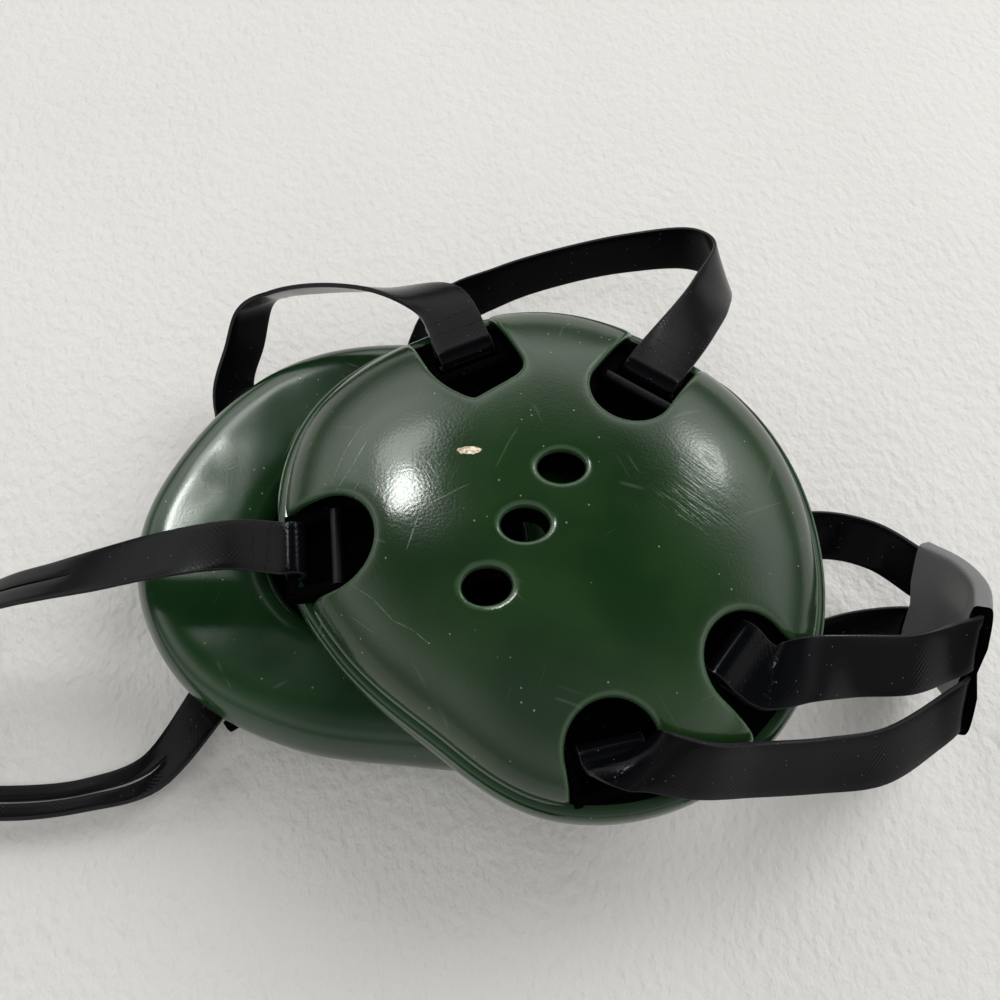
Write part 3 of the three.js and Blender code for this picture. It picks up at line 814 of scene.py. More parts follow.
def drawing_matrix(side):
    """The place of a cup on the drawing of the whole guard, in millimetres."""
    if side == "left":
        return Matrix.Translation(LEFT_CUP)
    turned = Matrix.Rotation(math.radians(RIGHT_CUP_TURN), 4, "Z")
    return Matrix.Translation(RIGHT_CUP) @ turned @ Matrix.Diagonal((1, 1, -1, 1))


def loop_stations(side, name, width_sign):
    """The turn round a bar, from under it to where the strap leaves over the last bar."""
    notch = NOTCHES[name]
    seat = bar_seat(name)
    points = []
    for k in range(-LOOP_LEAD, LOOP_STEPS + 1):
        angle = math.pi * k / LOOP_STEPS
        c, s = math.cos(angle), math.sin(angle)
        points.append((-LOOP_ARM * s, -LOOP_ARM * c, -c, s))
    if name == "rear_upper":
        over_bar = BAR_RADIUS + 1.5 * STRAP_THICKNESS + 2 * LAYER_GAP
        points += [*OVER_NEXT_BAR, (notch["pitch"], over_bar, 1, 0)]
    matrix = drawing_matrix(side)
    turning = matrix.to_3x3()
    slide = seat["across"] * SLIDES.get(name, 0)
    stations = []
    for out, up, run_out, run_up in points:
        reach = out + notch["looped"] * notch["pitch"]
        middle = seat["middle"] + seat["outward"] * reach + seat["upward"] * up + slide
        along = turning @ (seat["outward"] * run_out + seat["upward"] * run_up)
        stations.append(station(matrix @ middle, turning @ (seat["across"] * width_sign), along))
    return stations


def backwards(stations):
    """The same stations from the last to the first, each with its run turned round."""
    turned = [station(s["middle"], s["wide"], None if s["along"] is None else -s["along"]) for s in stations]
    return turned[::-1]


def spline_point(points, t, even):
    """A point of a smooth curve through the points. Even steps suit directions, the others suit places."""
    last = len(points) - 1
    place = min(max(t, 0), 1) * last
    row = min(int(place), last - 1)
    weight = place - row
    p1, p2 = points[row], points[row + 1]
    p0 = points[row - 1] if row > 0 else p1 * 2 - p2
    p3 = points[row + 2] if row + 2 <= last else p2 * 2 - p1
    if even:
        start, end = (p2 - p0) * 0.5, (p3 - p1) * 0.5
    else:
        spans = [max((b - a).length ** 0.5, 0.01) for a, b in ((p0, p1), (p1, p2), (p2, p3))]
        before, here, after = spans
        start = ((p1 - p0) / before - (p2 - p0) / (before + here) + (p2 - p1) / here) * here
        end = ((p2 - p1) / here - (p3 - p1) / (here + after) + (p3 - p2) / after) * here
    return (p1 + start * weight + (p1 * -3 + p2 * 3 - start * 2 - end) * weight ** 2
            + (p1 * 2 - p2 * 2 + start + end) * weight ** 3)


def squared(middle, wide, along, fixed):
    """A finished station. One whose run is fixed has its width set square to it, another only partly."""
    along = along.normalized()
    wide = (wide - along * wide.dot(along) * (1 if fixed else SQUARING)).normalized()
    return {"middle": middle, "along": along, "wide": wide, "thick": along.cross(wide).normalized()}


def smooth_route(controls, steps):
    """Stations along a strap. Those with a direction of their own keep it."""
    middles = [c["middle"] for c in controls]
    widths = [c["wide"] for c in controls]
    last = len(controls) - 1
    stations = []
    for i, control in enumerate(controls):
        fixed = control["along"] is not None
        between = steps if i < last and not (fixed and controls[i + 1]["along"] is not None) else 1
        for k in range(between):
            t = (i + k / between) / last
            run = spline_point(middles, t + RUN_STEP, False) - spline_point(middles, t - RUN_STEP, False)
            along = control["along"] if fixed and k == 0 else run
            wide = widths[i] if k == 0 else spline_point(widths, t, True)
            stations.append(squared(spline_point(middles, t, False), wide, along, fixed and k == 0))
    return stations


keeper_route = smooth_route(rows_to_stations(KEEPER_ROWS), KEEPER_STEPS)


def keeper_stretch(side):
    """The stretch of a rear strap inside the keeper, to one side of the keeper's middle."""
    return [station(s["middle"] + s["wide"] * side * KEEPER_PITCH / 2, s["wide"], s["along"])
            for s in keeper_route]


def turned_round(route):
    """The same route, walked from its other end."""
    return [dict(s, along=-s["along"], thick=-s["thick"]) for s in reversed(route)]


def with_tail(route, doubled):
    """Marks the top of the turn round the bar. A doubled end goes on from it and lies under the strap."""
    top = LOOP_LEAD + LOOP_STEPS
    route[top]["top"] = True
    if not doubled:
        return route
    bar = (route[top]["middle"] + route[LOOP_LEAD]["middle"]) / 2
    up = math.copysign(1, route[top]["thick"].dot(route[top]["middle"] - bar))
    far = 0.0
    under = []
    for here, following in zip(route[top:], route[top + 1:]):
        far += (following["middle"] - here["middle"]).length
        if TAIL_FROM < far < TAIL_TO:
            shift = following["thick"] * up * (STRAP_THICKNESS + LAYER_GAP)
            under.append(dict(following, middle=following["middle"] - shift, along=-following["along"],
                              thick=-following["thick"], top=False))
    tail = under[::-1]
    start, end = tail[-1], route[0]
    reach = (end["middle"] - start["middle"]).length
    joining = []
    for t in TAIL_JOINTS:
        middle = hermite(start["middle"], start["along"] * reach, end["along"] * reach, end["middle"], t)
        along = start["along"].lerp(end["along"], t)
        joining.append(squared(middle, start["wide"].lerp(end["wide"], t), along, True))
    return tail + joining + route


def hermite(start, start_run, end_run, end, t):
    """A point between two places, leaving and arriving in the given directions."""
    return (start * (2 * t ** 3 - 3 * t ** 2 + 1) + start_run * (t ** 3 - 2 * t ** 2 + t)
            + end * (3 * t ** 2 - 2 * t ** 3) + end_run * (t ** 3 - t ** 2))


def strap_route(name, width_sign, between):
    """A strap's whole route, from its turn in the left cup to its turn in the right one."""
    controls = loop_stations("left", name, width_sign) + between
    controls += backwards(loop_stations("right", name, width_sign))
    route = smooth_route(controls, ROUTE_STEPS)
    for _ in range(2):
        route = turned_round(with_tail(route, name in DOUBLED_ENDS))
    return route


ROUTES = {
    "forehead": strap_route("forehead", -1, rows_to_stations(FOREHEAD_ROWS)),
    "crown": strap_route("crown", -1, rows_to_stations(CROWN_ROWS)),
    "chin": strap_route("chin", 1, rows_to_stations(CHIN_ROWS)),
    "rear_upper": strap_route("rear_upper", -1, rows_to_stations(REAR_UPPER_OUT_ROWS) + keeper_stretch(-1)
                              + rows_to_stations(REAR_UPPER_BACK_ROWS)),
    "rear_lower": strap_route("rear_lower", -1, rows_to_stations(REAR_LOWER_OUT_ROWS) + keeper_stretch(1)
                              + rows_to_stations(REAR_LOWER_BACK_ROWS)),
}


def route_length(route):
    """How far each station lies along a route."""
    steps = [(b["middle"] - a["middle"]).length for a, b in zip(route, route[1:])]
    return np.concatenate(([0], np.cumsum(steps)))


for name, route in ROUTES.items():
    print(f"{name}: {route_length(route)[-1]:.0f} mm long, {len(route)} stations")

# %% [markdown]
# Each band starts as a grid, one row of faces for each station. The grid's points are laid along the route,
# a Solidify gives the webbing its thickness, and a narrow bevel rounds its edges. Its UV map is laid in
# metres, width by length, so that the weave keeps its real size wherever the strap bends. A second map
# measures from where the strap leaves its bar, because it is welded to its own end just past there.

# %% Lay the straps
SLIT_FROM = 2.4
SLIT_TO = 12.6
SLIT_SHUT = 0.12
SLIT_NARROW = 0.35
SLIT_HALF = 0.8
SLIT_WIDENS_FROM = 40
SLIT_WIDENS_OVER = 50
SLIT_TIP = 14
SLIT_TIP_POWER = 0.6
STRAP_EDGE = 0.45
STRAP_EDGE_ANGLE = 50


def slit_half_width(length, start, end):
    """Half the slit's width: shut near its start, wider where the two halves lie apart, and pointed."""
    inside = min(length - start, end - length)
    if inside <= 0:
        return SLIT_SHUT
    widened = min(1, max(0, (length - start - SLIT_WIDENS_FROM) / SLIT_WIDENS_OVER))
    opened = SLIT_NARROW + (SLIT_HALF - SLIT_NARROW) * widened
    return max(SLIT_SHUT, opened * min(1, inside / SLIT_TIP) ** SLIT_TIP_POWER)


def band(name, route, columns, slit=None):
    """A band of webbing. The columns are the places of its points across the width."""
    lengths = route_length(route)
    bpy.ops.object.select_all(action="DESELECT")
    bpy.ops.mesh.primitive_grid_add(x_subdivisions=len(columns) - 1, y_subdivisions=len(route) - 1, size=1)
    obj = bpy.context.object
    obj.name = name
    obj.data.name = name
    points = read_points(obj)
    column = np.rint((points[:, 0] + 0.5) * (len(columns) - 1)).astype(int)
    row = np.rint((points[:, 1] + 0.5) * (len(route) - 1)).astype(int)
    across = np.array([columns[c] for c in column], dtype=float)
    if slit:
        middle = len(columns) // 2
        for sign, which in ((-1, middle - 1), (1, middle)):
            chosen = column == which
            across[chosen] = [sign * slit_half_width(lengths[r], *slit) for r in row[chosen]]
    laid = np.array([route[r]["middle"] + route[r]["wide"] * w for r, w in zip(row, across)])
    write_points(obj, (laid + np.array(SHIFT)) * MM)
    tops = [lengths[k] for k, s in enumerate(route) if s.get("top")]
    from_turn = np.minimum(lengths - tops[0], tops[1] - lengths)
    lay_uv(obj, across * MM, lengths[row] * MM, from_turn[row] * MM)
    if slit:
        open_slit(obj, column, lengths[row], middle, *slit)
    return obj


def lay_uv(obj, across, along, from_turn):
    """Writes the band's two UV maps. The second holds its share of half the width and how far its bar is."""
    webbing = obj.data.uv_layers[0]
    webbing.name = "webbing"
    ends = obj.data.uv_layers.new(name="from_turn")
    widest = np.max(across)
    for loop in obj.data.loops:
        v = loop.vertex_index
        webbing.data[loop.index].uv = (across[v], along[v])
        ends.data[loop.index].uv = (across[v] / widest, from_turn[v])


def open_slit(obj, column, length, middle, start, end):
    """Deletes the narrow middle column of faces between the slit's ends."""
    edit(obj, "DESELECT")
    bpy.ops.mesh.select_mode(type="FACE")
    bpy.ops.object.mode_set(mode="OBJECT")
    for face in obj.data.polygons:
        corners = list(face.vertices)
        narrow = all(column[v] in (middle - 1, middle) for v in corners)
        face.select = bool(narrow and all(start < length[v] < end for v in corners))
    bpy.ops.object.mode_set(mode="EDIT")
    bpy.ops.mesh.delete(type="FACE")
    bpy.ops.mesh.select_mode(type="VERT")
    bpy.ops.object.mode_set(mode="OBJECT")


def thicken(obj):
    use_modifier(obj, "SOLIDIFY", thickness=STRAP_THICKNESS * MM, offset=0)
    use_modifier(obj, "BEVEL", width=STRAP_EDGE * MM, segments=3, limit_method="ANGLE",
                 angle_limit=math.radians(STRAP_EDGE_ANGLE))
    smooth(obj, CREASE)
    report(obj)


PLAIN_COLUMNS = (-6.75, -4.5, -2.25, 0, 2.25, 4.5, 6.75)
SLIT_COLUMNS = (-6, -4.4, -2.6, -SLIT_SHUT, SLIT_SHUT, 2.6, 4.4, 6)


def chin_slit():
    """Where the chin strap's slit starts and ends, in millimetres along it.

    Both are given in rows of its table, and the end lies a little past the last row."""
    route = ROUTES["chin"]
    lengths = route_length(route)
    places = []
    for row in (SLIT_FROM, SLIT_TO):
        low = min(int(row), len(CHIN_ROWS) - 2)
        here, following = Vector(CHIN_ROWS[low][:3]), Vector(CHIN_ROWS[low + 1][:3])
        aim = here + (following - here) * (row - low)
        near = min(range(len(route)), key=lambda k: (route[k]["middle"] - aim).length)
        places.append(float(lengths[near]))
    return places


straps = {}
for name, route in ROUTES.items():
    slit = chin_slit() if name == "chin" else None
    straps[name] = band(f"{name}_webbing", route, SLIT_COLUMNS if slit else PLAIN_COLUMNS, slit)
    thicken(straps[name])

# %% [markdown]
# The two rear straps pass through one keeper, a double sleeve of the same material, pinched between them.
# Its section is a figure of eight with round corners. It is laid along the keeper's route as a tube, and
# the two cells are cut through it with two flat tubes.

# %% Make the keeper
CELL_WIDTH = STRAP_WIDTH + 2 * GAP
CELL_THICKNESS = STRAP_THICKNESS + 2 * GAP
CELL_CORNER = 0.8
CELL_BEYOND = 2
CORNER_STEPS = 6
SLEEVE_SIDES = 96
SLEEVE_SQUARENESS = 0.35
WAIST_DEPTH = 0.42
WAIST_WIDTH = 1.5
SLEEVE_EDGE = 0.3
SLEEVE_EDGE_ANGLE = 55
SLEEVE_CREASE = 45


def rounded_loop(half_width, half_thickness, corner, offset):
    """A rectangle with round corners, moved to one side, as (across, up) pairs."""
    loop = []
    for quarter, (sx, sy) in enumerate(((1, 1), (-1, 1), (-1, -1), (1, -1))):
        for k in range(CORNER_STEPS + 1):
            angle = math.pi / 2 * (quarter + k / CORNER_STEPS)
            across = sx * (half_width - corner) + corner * math.cos(angle)
            up = sy * (half_thickness - corner) + corner * math.sin(angle)
            loop.append((across + offset, up))
    return loop


def sleeve_loop():
    """The sleeve's outside: two round-cornered cells with a waist between them."""
    half_width = CELL_WIDTH + 1.5 * KEEPER_WALL
    half_thickness = CELL_THICKNESS / 2 + KEEPER_WALL
    loop = []
    for k in range(SLEEVE_SIDES):
        angle = 2 * math.pi * k / SLEEVE_SIDES
        c, s = math.cos(angle), math.sin(angle)
        across = half_width * math.copysign(abs(c) ** SLEEVE_SQUARENESS, c)
        up = half_thickness * math.copysign(abs(s) ** SLEEVE_SQUARENESS, s)
        waist = 1 - WAIST_DEPTH * math.exp(-(across / WAIST_WIDTH) ** 2)
        loop.append((across, up * waist))
    return loop


def lay_tube(name, route, loop):
    """A tube along a route, with the same loop at each station."""
    rings = [[(here["middle"] + here["wide"] * w + here["thick"] * n + SHIFT) * MM for w, n in loop]
             for here in route]
    return tube(name, rings, len(loop))


def stretched(route, more):
    """The same route, a little longer at both ends."""
    first, final = dict(route[0]), dict(route[-1])
    first["middle"] = first["middle"] - first["along"] * more
    final["middle"] = final["middle"] + final["along"] * more
    return [first] + list(route) + [final]


keeper = lay_tube("keeper_sleeve", keeper_route, sleeve_loop())
cell_route = stretched(keeper_route, CELL_BEYOND)
cells = []
for side in (-1, 1):
    loop = rounded_loop(CELL_WIDTH / 2, CELL_THICKNESS / 2, CELL_CORNER, side * KEEPER_PITCH / 2)
    cells.append(lay_tube("cell", cell_route, loop))
cut(keeper, cells)
use_modifier(keeper, "BEVEL", width=SLEEVE_EDGE * MM, segments=2, limit_method="ANGLE",
             angle_limit=math.radians(SLEEVE_EDGE_ANGLE))
smooth(keeper, SLEEVE_CREASE)
report(keeper)

# %% [markdown]
# Now the finishes. Effects that several materials share are node groups: fine orange peel, hairline
# scratches, single marks, dust, and the straps' weave and welds. Each takes named values and gives back a
# mask or a height, and each material sets its own. A pattern's scale is in repeats for each metre.

# %% Node helpers
def new_group(name, output, **inputs):
    """A node group with one float output. An input given as None is a vector, the others are floats."""
    group = bpy.data.node_groups.new(name, "ShaderNodeTree")
    for socket, value in inputs.items():
        kind = "NodeSocketVector" if value is None else "NodeSocketFloat"
        item = group.interface.new_socket(name=socket, in_out="INPUT", socket_type=kind)
        if value is not None:
            item.default_value = value
    group.interface.new_socket(name=output, in_out="OUTPUT", socket_type="NodeSocketFloat")
    return group, group.nodes.new("NodeGroupInput").outputs, group.nodes.new("NodeGroupOutput").inputs[0]


def set_input(tree, node, socket, value):
    """Links a socket, or writes a plain value into the node's own."""
    if isinstance(value, bpy.types.NodeSocket):
        tree.links.new(value, node.inputs[socket])
    else:
        node.inputs[socket].default_value = value


def math_node(tree, operation, first, second=None, clamp=False):
    node = tree.nodes.new("ShaderNodeMath")
    node.operation = operation
    node.use_clamp = clamp
    set_input(tree, node, 0, first)
    if second is not None:
        set_input(tree, node, 1, second)
    return node.outputs[0]


def plus(tree, first, second, clamp=False):
    return math_node(tree, "ADD", first, second, clamp)


def minus(tree, first, second):
    return math_node(tree, "SUBTRACT", first, second)


def times(tree, first, second):
    return math_node(tree, "MULTIPLY", first, second)


def inverse(tree, mask):
    """1 where the mask is 0, and 0 where it is 1."""
    return math_node(tree, "SUBTRACT", 1, mask, clamp=True)


def combined(tree, operation, values):
    """All the values put together by one operation, such as ADD or MAXIMUM."""
    total = values[0]
    for value in values[1:]:
        total = math_node(tree, operation, total, value)
    return total


def noise(tree, vector, scale, detail=2):
    node = tree.nodes.new("ShaderNodeTexNoise")
    set_input(tree, node, "Vector", vector)
    set_input(tree, node, "Scale", scale)
    node.inputs["Detail"].default_value = detail
    node.inputs["Roughness"].default_value = 0.5
    return node.outputs["Fac"]


def wander(tree, vector, scale, detail, reach):
    """A value that strays to both sides of nothing, half its reach each way at most."""
    return times(tree, minus(tree, noise(tree, vector, scale, detail), 0.5), reach)


def varied(tree, vector, least, more, scale):
    """A value that varies from place to place, for a skin's roughness."""
    return plus(tree, least, times(tree, noise(tree, vector, scale), more))


def ramp(tree, value, low, high):
    """0 below low, 1 above high and smooth between."""
    node = tree.nodes.new("ShaderNodeMapRange")
    node.interpolation_type = "SMOOTHSTEP"
    set_input(tree, node, "Value", value)
    set_input(tree, node, "From Min", low)
    set_input(tree, node, "From Max", high)
    return node.outputs["Result"]


def stretch(tree, vector, turn, scale):
    """The vector scaled and then turned about Z, for marks that run in one direction."""
    node = tree.nodes.new("ShaderNodeMapping")
    set_input(tree, node, "Vector", vector)
    node.inputs["Rotation"].default_value = (0, 0, turn)
    node.inputs["Scale"].default_value = scale
    return node.outputs[0]


def vector_node(tree, operation, first, second=None, scale=None):
    """A vector operation. A length or a dot product gives back a number."""
    node = tree.nodes.new("ShaderNodeVectorMath")
    node.operation = operation
    set_input(tree, node, 0, first)
    if second is not None:
        set_input(tree, node, 1, second)
    if scale is not None:
        set_input(tree, node, "Scale", scale)
    return node.outputs["Value" if operation in ("LENGTH", "DOT_PRODUCT") else "Vector"]


def moved(tree, vector, amount):
    """The vector pushed sideways by an amount."""
    node = tree.nodes.new("ShaderNodeCombineXYZ")
    set_input(tree, node, 0, amount)
    return vector_node(tree, "ADD", vector, node.outputs[0])


def parts_of(tree, vector):
    """The vector's X, Y and Z."""
    node = tree.nodes.new("ShaderNodeSeparateXYZ")
    tree.links.new(vector, node.inputs[0])
    return node.outputs


def mixed(tree, factor, low, high):
    """A colour between two. The Mix node's sockets 6 and 7 take its colours, and its output 2 gives one."""
    node = tree.nodes.new("ShaderNodeMix")
    node.data_type = "RGBA"
    set_input(tree, node, "Factor", factor)
    for socket, colour in ((6, low), (7, high)):
        value = colour if isinstance(colour, bpy.types.NodeSocket) else (*colour, 1)
        set_input(tree, node, socket, value)
    return node.outputs[2]


print("node helpers ready")

# %% [markdown]
# Orange peel is the faint ripple that a thick dipped coat keeps. It is a height of three sizes: slow waves
# from the foam below, blobs under a millimetre across, and a finer grain. A scratch is a long stretched
# noise cut to its peaks. A Mapping node scales before it turns, so a pattern that is to lie along a slant
# is turned by one node and stretched by the next.

# %% Shared effects: orange peel, scratches and dust
PEEL_LAYERS = (("Grain", 2600, 2), ("Blobs", 1600, 0), ("Waves", 55, 1))
SCRATCH_RUNS = ((0.4, 700), (1.1, 820), (1.9, 640), (2.6, 900))


def make_orange_peel():
    tree, given, out = new_group("orange_peel", "Height", Vector=None, Waves=0.5, Blobs=0.3, Grain=0.1)
    layers = [times(tree, noise(tree, given["Vector"], scale, detail), given[layer])
              for layer, scale, detail in PEEL_LAYERS]
    tree.links.new(combined(tree, "ADD", layers), out)
    return tree


def make_scratches():
    """Hairlines in several directions, each broken up so that it is short and faint."""
    tree, given, out = new_group("hairline_scratches", "Mask", Vector=None, Amount=0.5)
    runs = []
    for turn, fineness in SCRATCH_RUNS:
        turned = stretch(tree, given["Vector"], turn, (1, 1, 0.1))
        bent = moved(tree, turned, times(tree, noise(tree, turned, 60, 1), 0.004))
        lines = noise(tree, stretch(tree, bent, 0, (1, 0.035, 0.1)), fineness, 0)
        patch = ramp(tree, noise(tree, turned, 70 + 12 * turn, 1), 0.56, 0.68)
        runs.append(times(tree, ramp(tree, lines, 0.77, 0.8), patch))
    tree.links.new(times(tree, combined(tree, "MAXIMUM", runs), given["Amount"]), out)
    return tree


def make_mark():
    """One straight mark between two places seen from above, thin at its ends and a little broken."""
    tree, given, out = new_group("single_mark", "Mask", Vector=None, Start=None, End=None, Width=0.0002)
    flat = vector_node(tree, "MULTIPLY", given["Vector"], (1, 1, 0))
    from_start = vector_node(tree, "SUBTRACT", flat, given["Start"])
    run = vector_node(tree, "SUBTRACT", given["End"], given["Start"])
    whole = vector_node(tree, "DOT_PRODUCT", run, run)
    along = math_node(tree, "DIVIDE", vector_node(tree, "DOT_PRODUCT", from_start, run), whole, clamp=True)
    nearest = vector_node(tree, "SCALE", run, scale=along)
    off = vector_node(tree, "LENGTH", vector_node(tree, "SUBTRACT", from_start, nearest))
    swell = times(tree, times(tree, along, minus(tree, 1, along)), 2.6)
    width = times(tree, given["Width"], plus(tree, 0.35, swell))
    line = inverse(tree, ramp(tree, math_node(tree, "DIVIDE", off, width), 0.3, 1))
    broken = ramp(tree, noise(tree, given["Vector"], 1500), 0.3, 0.55)
    tree.links.new(times(tree, line, broken), out)
    return tree


def make_dust():
    """Specks, each a small part of a cell, with only some cells holding one."""
    tree, given, out = new_group("dust_specks", "Mask", Vector=None, Cells=500, Size=0.12, Share=0.3)
    cells = tree.nodes.new("ShaderNodeTexVoronoi")
    set_input(tree, cells, "Vector", given["Vector"])
    set_input(tree, cells, "Scale", given["Cells"])
    near = math_node(tree, "LESS_THAN", cells.outputs["Distance"], given["Size"])
    chance = tree.nodes.new("ShaderNodeSeparateColor")
    tree.links.new(cells.outputs["Color"], chance.inputs["Color"])
    held = math_node(tree, "LESS_THAN", chance.outputs["Red"], given["Share"])
    tree.links.new(times(tree, near, held), out)
    return tree


GROUPS = {
    "peel": make_orange_peel(),
    "scratches": make_scratches(),
    "mark": make_mark(),
    "dust": make_dust(),
}
print("groups:", [group.name for group in GROUPS.values()])

# %% [markdown]
# The straps are webbing inside a black coat. Held to the light, the coat shows the cloth's plain weave, and
# near each end two rows of small dents where the strap is welded to itself.

# %% Shared effects: weave and welds
def make_weave():
    """A plain weave: two waves across each other, one thread's pitch long."""
    tree, given, out = new_group("coated_weave", "Height", Vector=None, Pitch=0.0008)
    place = parts_of(tree, given["Vector"])
    turns = math_node(tree, "DIVIDE", math.pi, given["Pitch"])
    waves = [math_node(tree, "SINE", times(tree, place[axis], turns)) for axis in "XY"]
    tree.links.new(times(tree, *waves), out)
    return tree


def make_welds():
    """Two rows of uneven dents, at two distances from where the strap leaves its bar."""
    tree, given, out = new_group("weld_dents", "Mask", Vector=None, First=0.0046, Second=0.0088)
    spots = noise(tree, stretch(tree, given["Vector"], 0, (1, 150, 1)), 14)
    far = plus(tree, parts_of(tree, given["Vector"])["Y"], wander(tree, given["Vector"], 3, 1, 0.0022))
    rows = []
    for which in ("First", "Second"):
        off = math_node(tree, "ABSOLUTE", minus(tree, far, given[which]))
        rows.append(inverse(tree, ramp(tree, off, 0.0001, 0.0004)))
    tree.links.new(times(tree, combined(tree, "MAXIMUM", rows), ramp(tree, spots, 0.52, 0.62)), out)
    return tree


GROUPS["weave"] = make_weave()
GROUPS["welds"] = make_welds()
print("groups:", [group.name for group in GROUPS.values()])

# %% [markdown]
# The vinyl of the cups is a deep bottle green under a glossy skin. Large faint clouds vary its depth, the
# hairlines and dust lie on top of it in a paler, duller grey-green, and the orange peel bends its
# reflections. The pads have the same skin, a little softer and cleaner. Only the upper cup's dome has the
# marks, the chip and the rubbed patch, which are given as places on the drawing, in millimetres: a mark by
# the X and Y of its two ends and its width.

# %% Materials for the cups
MARKS = (
    (-37.1, -1.7, -34.0, 6.4, 0.22), (-34.0, 6.4, -30.3, 12.8, 0.16), (-35.8, -3.4, -32.3, 1.8, 0.24),
    (-32.3, 1.8, -29.1, 8.1, 0.16), (-31.5, -3.9, -30.5, -1.9, 0.18), (-19.3, -18.1, -17.0, -10.6, 0.26),
    (-31.3, -24.4, -26.6, -27.7, 0.16), (-26.6, -27.7, -22.0, -32.6, 0.18), (-22.0, -32.6, -17.8, -34.8, 0.2),
    (-17.8, -34.8, -14.6, -37.5, 0.16), (-31.0, -30.8, -25.2, -35.1, 0.12),
)
CHIP = {"x": -6.7, "y": 3.6, "long": 2.9, "short": 1.05, "turn": 12}
RUBBED = {"x": 44, "y": -5, "reach": 17, "turn": 38}
SHELL_GREENS = ((0.005, 0.02, 0.005), (0.012, 0.034, 0.0095))
PAD_GREENS = ((0.006, 0.024, 0.007), (0.011, 0.038, 0.012))
# The beads' paler greens are a painted highlight along the rim.
BEAD_HIGHLIGHT_GREENS = ((0.05, 0.085, 0.05), (0.09, 0.13, 0.085))
# A paler green for the painted sheen along each notch's and vent's rolled lip.
LIP_SHEEN_GREEN = (0.035, 0.075, 0.035)
SCRATCH_GREEN = (0.17, 0.22, 0.16)
FOAM_CREAMS = ((0.3, 0.22, 0.12), (0.78, 0.7, 0.54))
GREEN_DUST = (0.45, 0.46, 0.4)


def new_material(name):
    """A material, its tree and shader, and the place on the object that its patterns read."""
    material = bpy.data.materials.new(name)
    material.use_nodes = True
    tree = material.node_tree
    place = tree.nodes.new("ShaderNodeTexCoord").outputs["Object"]
    return material, tree, tree.nodes["Principled BSDF"], place


def use_group(tree, key, **values):
    node = tree.nodes.new("ShaderNodeGroup")
    node.node_tree = GROUPS[key]
    for socket, value in values.items():
        set_input(tree, node, socket, value)
    return node.outputs[0]


def uv_place(tree, name):
    node = tree.nodes.new("ShaderNodeUVMap")
    node.uv_map = name
    return node.outputs[0]


def set_finish(tree, shader, colour, roughness, height, depth):
    """Links a colour, a roughness and a height to the shader. The height's unit is the depth, in metres."""
    node = tree.nodes.new("ShaderNodeBump")
    node.inputs["Distance"].default_value = depth
    node.inputs["Strength"].default_value = 1
    tree.links.new(height, node.inputs["Height"])
    tree.links.new(node.outputs[0], shader.inputs["Normal"])
    tree.links.new(colour, shader.inputs["Base Color"])
    tree.links.new(roughness, shader.inputs["Roughness"])


def dusted(tree, place, colour, dust_colour, strength, cells, size, share):
    """The colour with specks of dust on it."""
    dust = use_group(tree, "dust", Vector=place, Cells=cells, Size=size, Share=share)
    return mixed(tree, times(tree, dust, strength), colour, dust_colour)


def drawn_place(x, y):
    """A place seen from above on the drawing, in the frame's metres."""
    return ((x + SHIFT.x) * MM, (y + SHIFT.y) * MM, 0)


def placed_marks(tree, place):
    """The longer scratches that this cup has picked up, where they lie."""
    marks = [use_group(tree, "mark", Vector=place, Start=drawn_place(x0, y0), End=drawn_place(x1, y1),
                       Width=width * MM) for x0, y0, x1, y1, width in MARKS]
    return combined(tree, "MAXIMUM", marks)


def chipped(tree, place):
    """The small chip whose foam shows: an uneven oval, seen from above."""
    centred = vector_node(tree, "SUBTRACT", place, drawn_place(CHIP["x"], CHIP["y"]))
    to_oval = (1 / (CHIP["long"] * MM), 1 / (CHIP["short"] * MM), 0)
    oval = stretch(tree, centred, math.radians(-CHIP["turn"]), to_oval)
    off = plus(tree, vector_node(tree, "LENGTH", oval), wander(tree, place, 900, 3, 0.9))
    return inverse(tree, ramp(tree, off, 0.85, 1))


def brushed_patch(tree, place):
    """Fine parallel rubbing round one place, all in one direction and fading outwards."""
    reach = RUBBED["reach"] * MM
    off = vector_node(tree, "SUBTRACT", place, drawn_place(RUBBED["x"], RUBBED["y"]))
    far = vector_node(tree, "LENGTH", vector_node(tree, "MULTIPLY", off, (1, 1.3, 0)))
    near = ramp(tree, far, reach, 0.35 * reach)
    turned = stretch(tree, place, math.radians(RUBBED["turn"]), (1, 1, 1))
    lines = noise(tree, stretch(tree, turned, 0, (0.08, 1, 0.1)), 2000)
    uneven = ramp(tree, noise(tree, place, 90), 0.3, 0.6)
    return times(tree, times(tree, near, uneven), ramp(tree, lines, 0.45, 0.7))


def lip_sheen(tree, place):
    """The narrow paler band along each notch and vent, a painted sheen on the rolled lip, uneven along it."""
    depth = plus(tree, parts_of(tree, uv_place(tree, "lip"))["X"], wander(tree, place, 160, 2, 0.0012))
    inside = inverse(tree, ramp(tree, depth, -0.0001, 0.0004))
    return times(tree, ramp(tree, depth, -0.0013, -0.0006), inside)


def wear(tree, place, colour, dull, height):
    """Puts the rubbed patch and the chip, whose foam shows, into a colour, a roughness and a height."""
    rubbed = brushed_patch(tree, place)
    chip = chipped(tree, place)
    foam = mixed(tree, ramp(tree, noise(tree, place, 1400), 0.35, 0.7), *FOAM_CREAMS)
    colour = mixed(tree, chip, colour, foam)
    dull = plus(tree, dull, times(tree, rubbed, 0.14))
    dull = plus(tree, dull, times(tree, chip, 0.4), clamp=True)
    height = minus(tree, height, times(tree, rubbed, 0.2))
    height = minus(tree, height, times(tree, chip, 2.5))
    return colour, dull, height


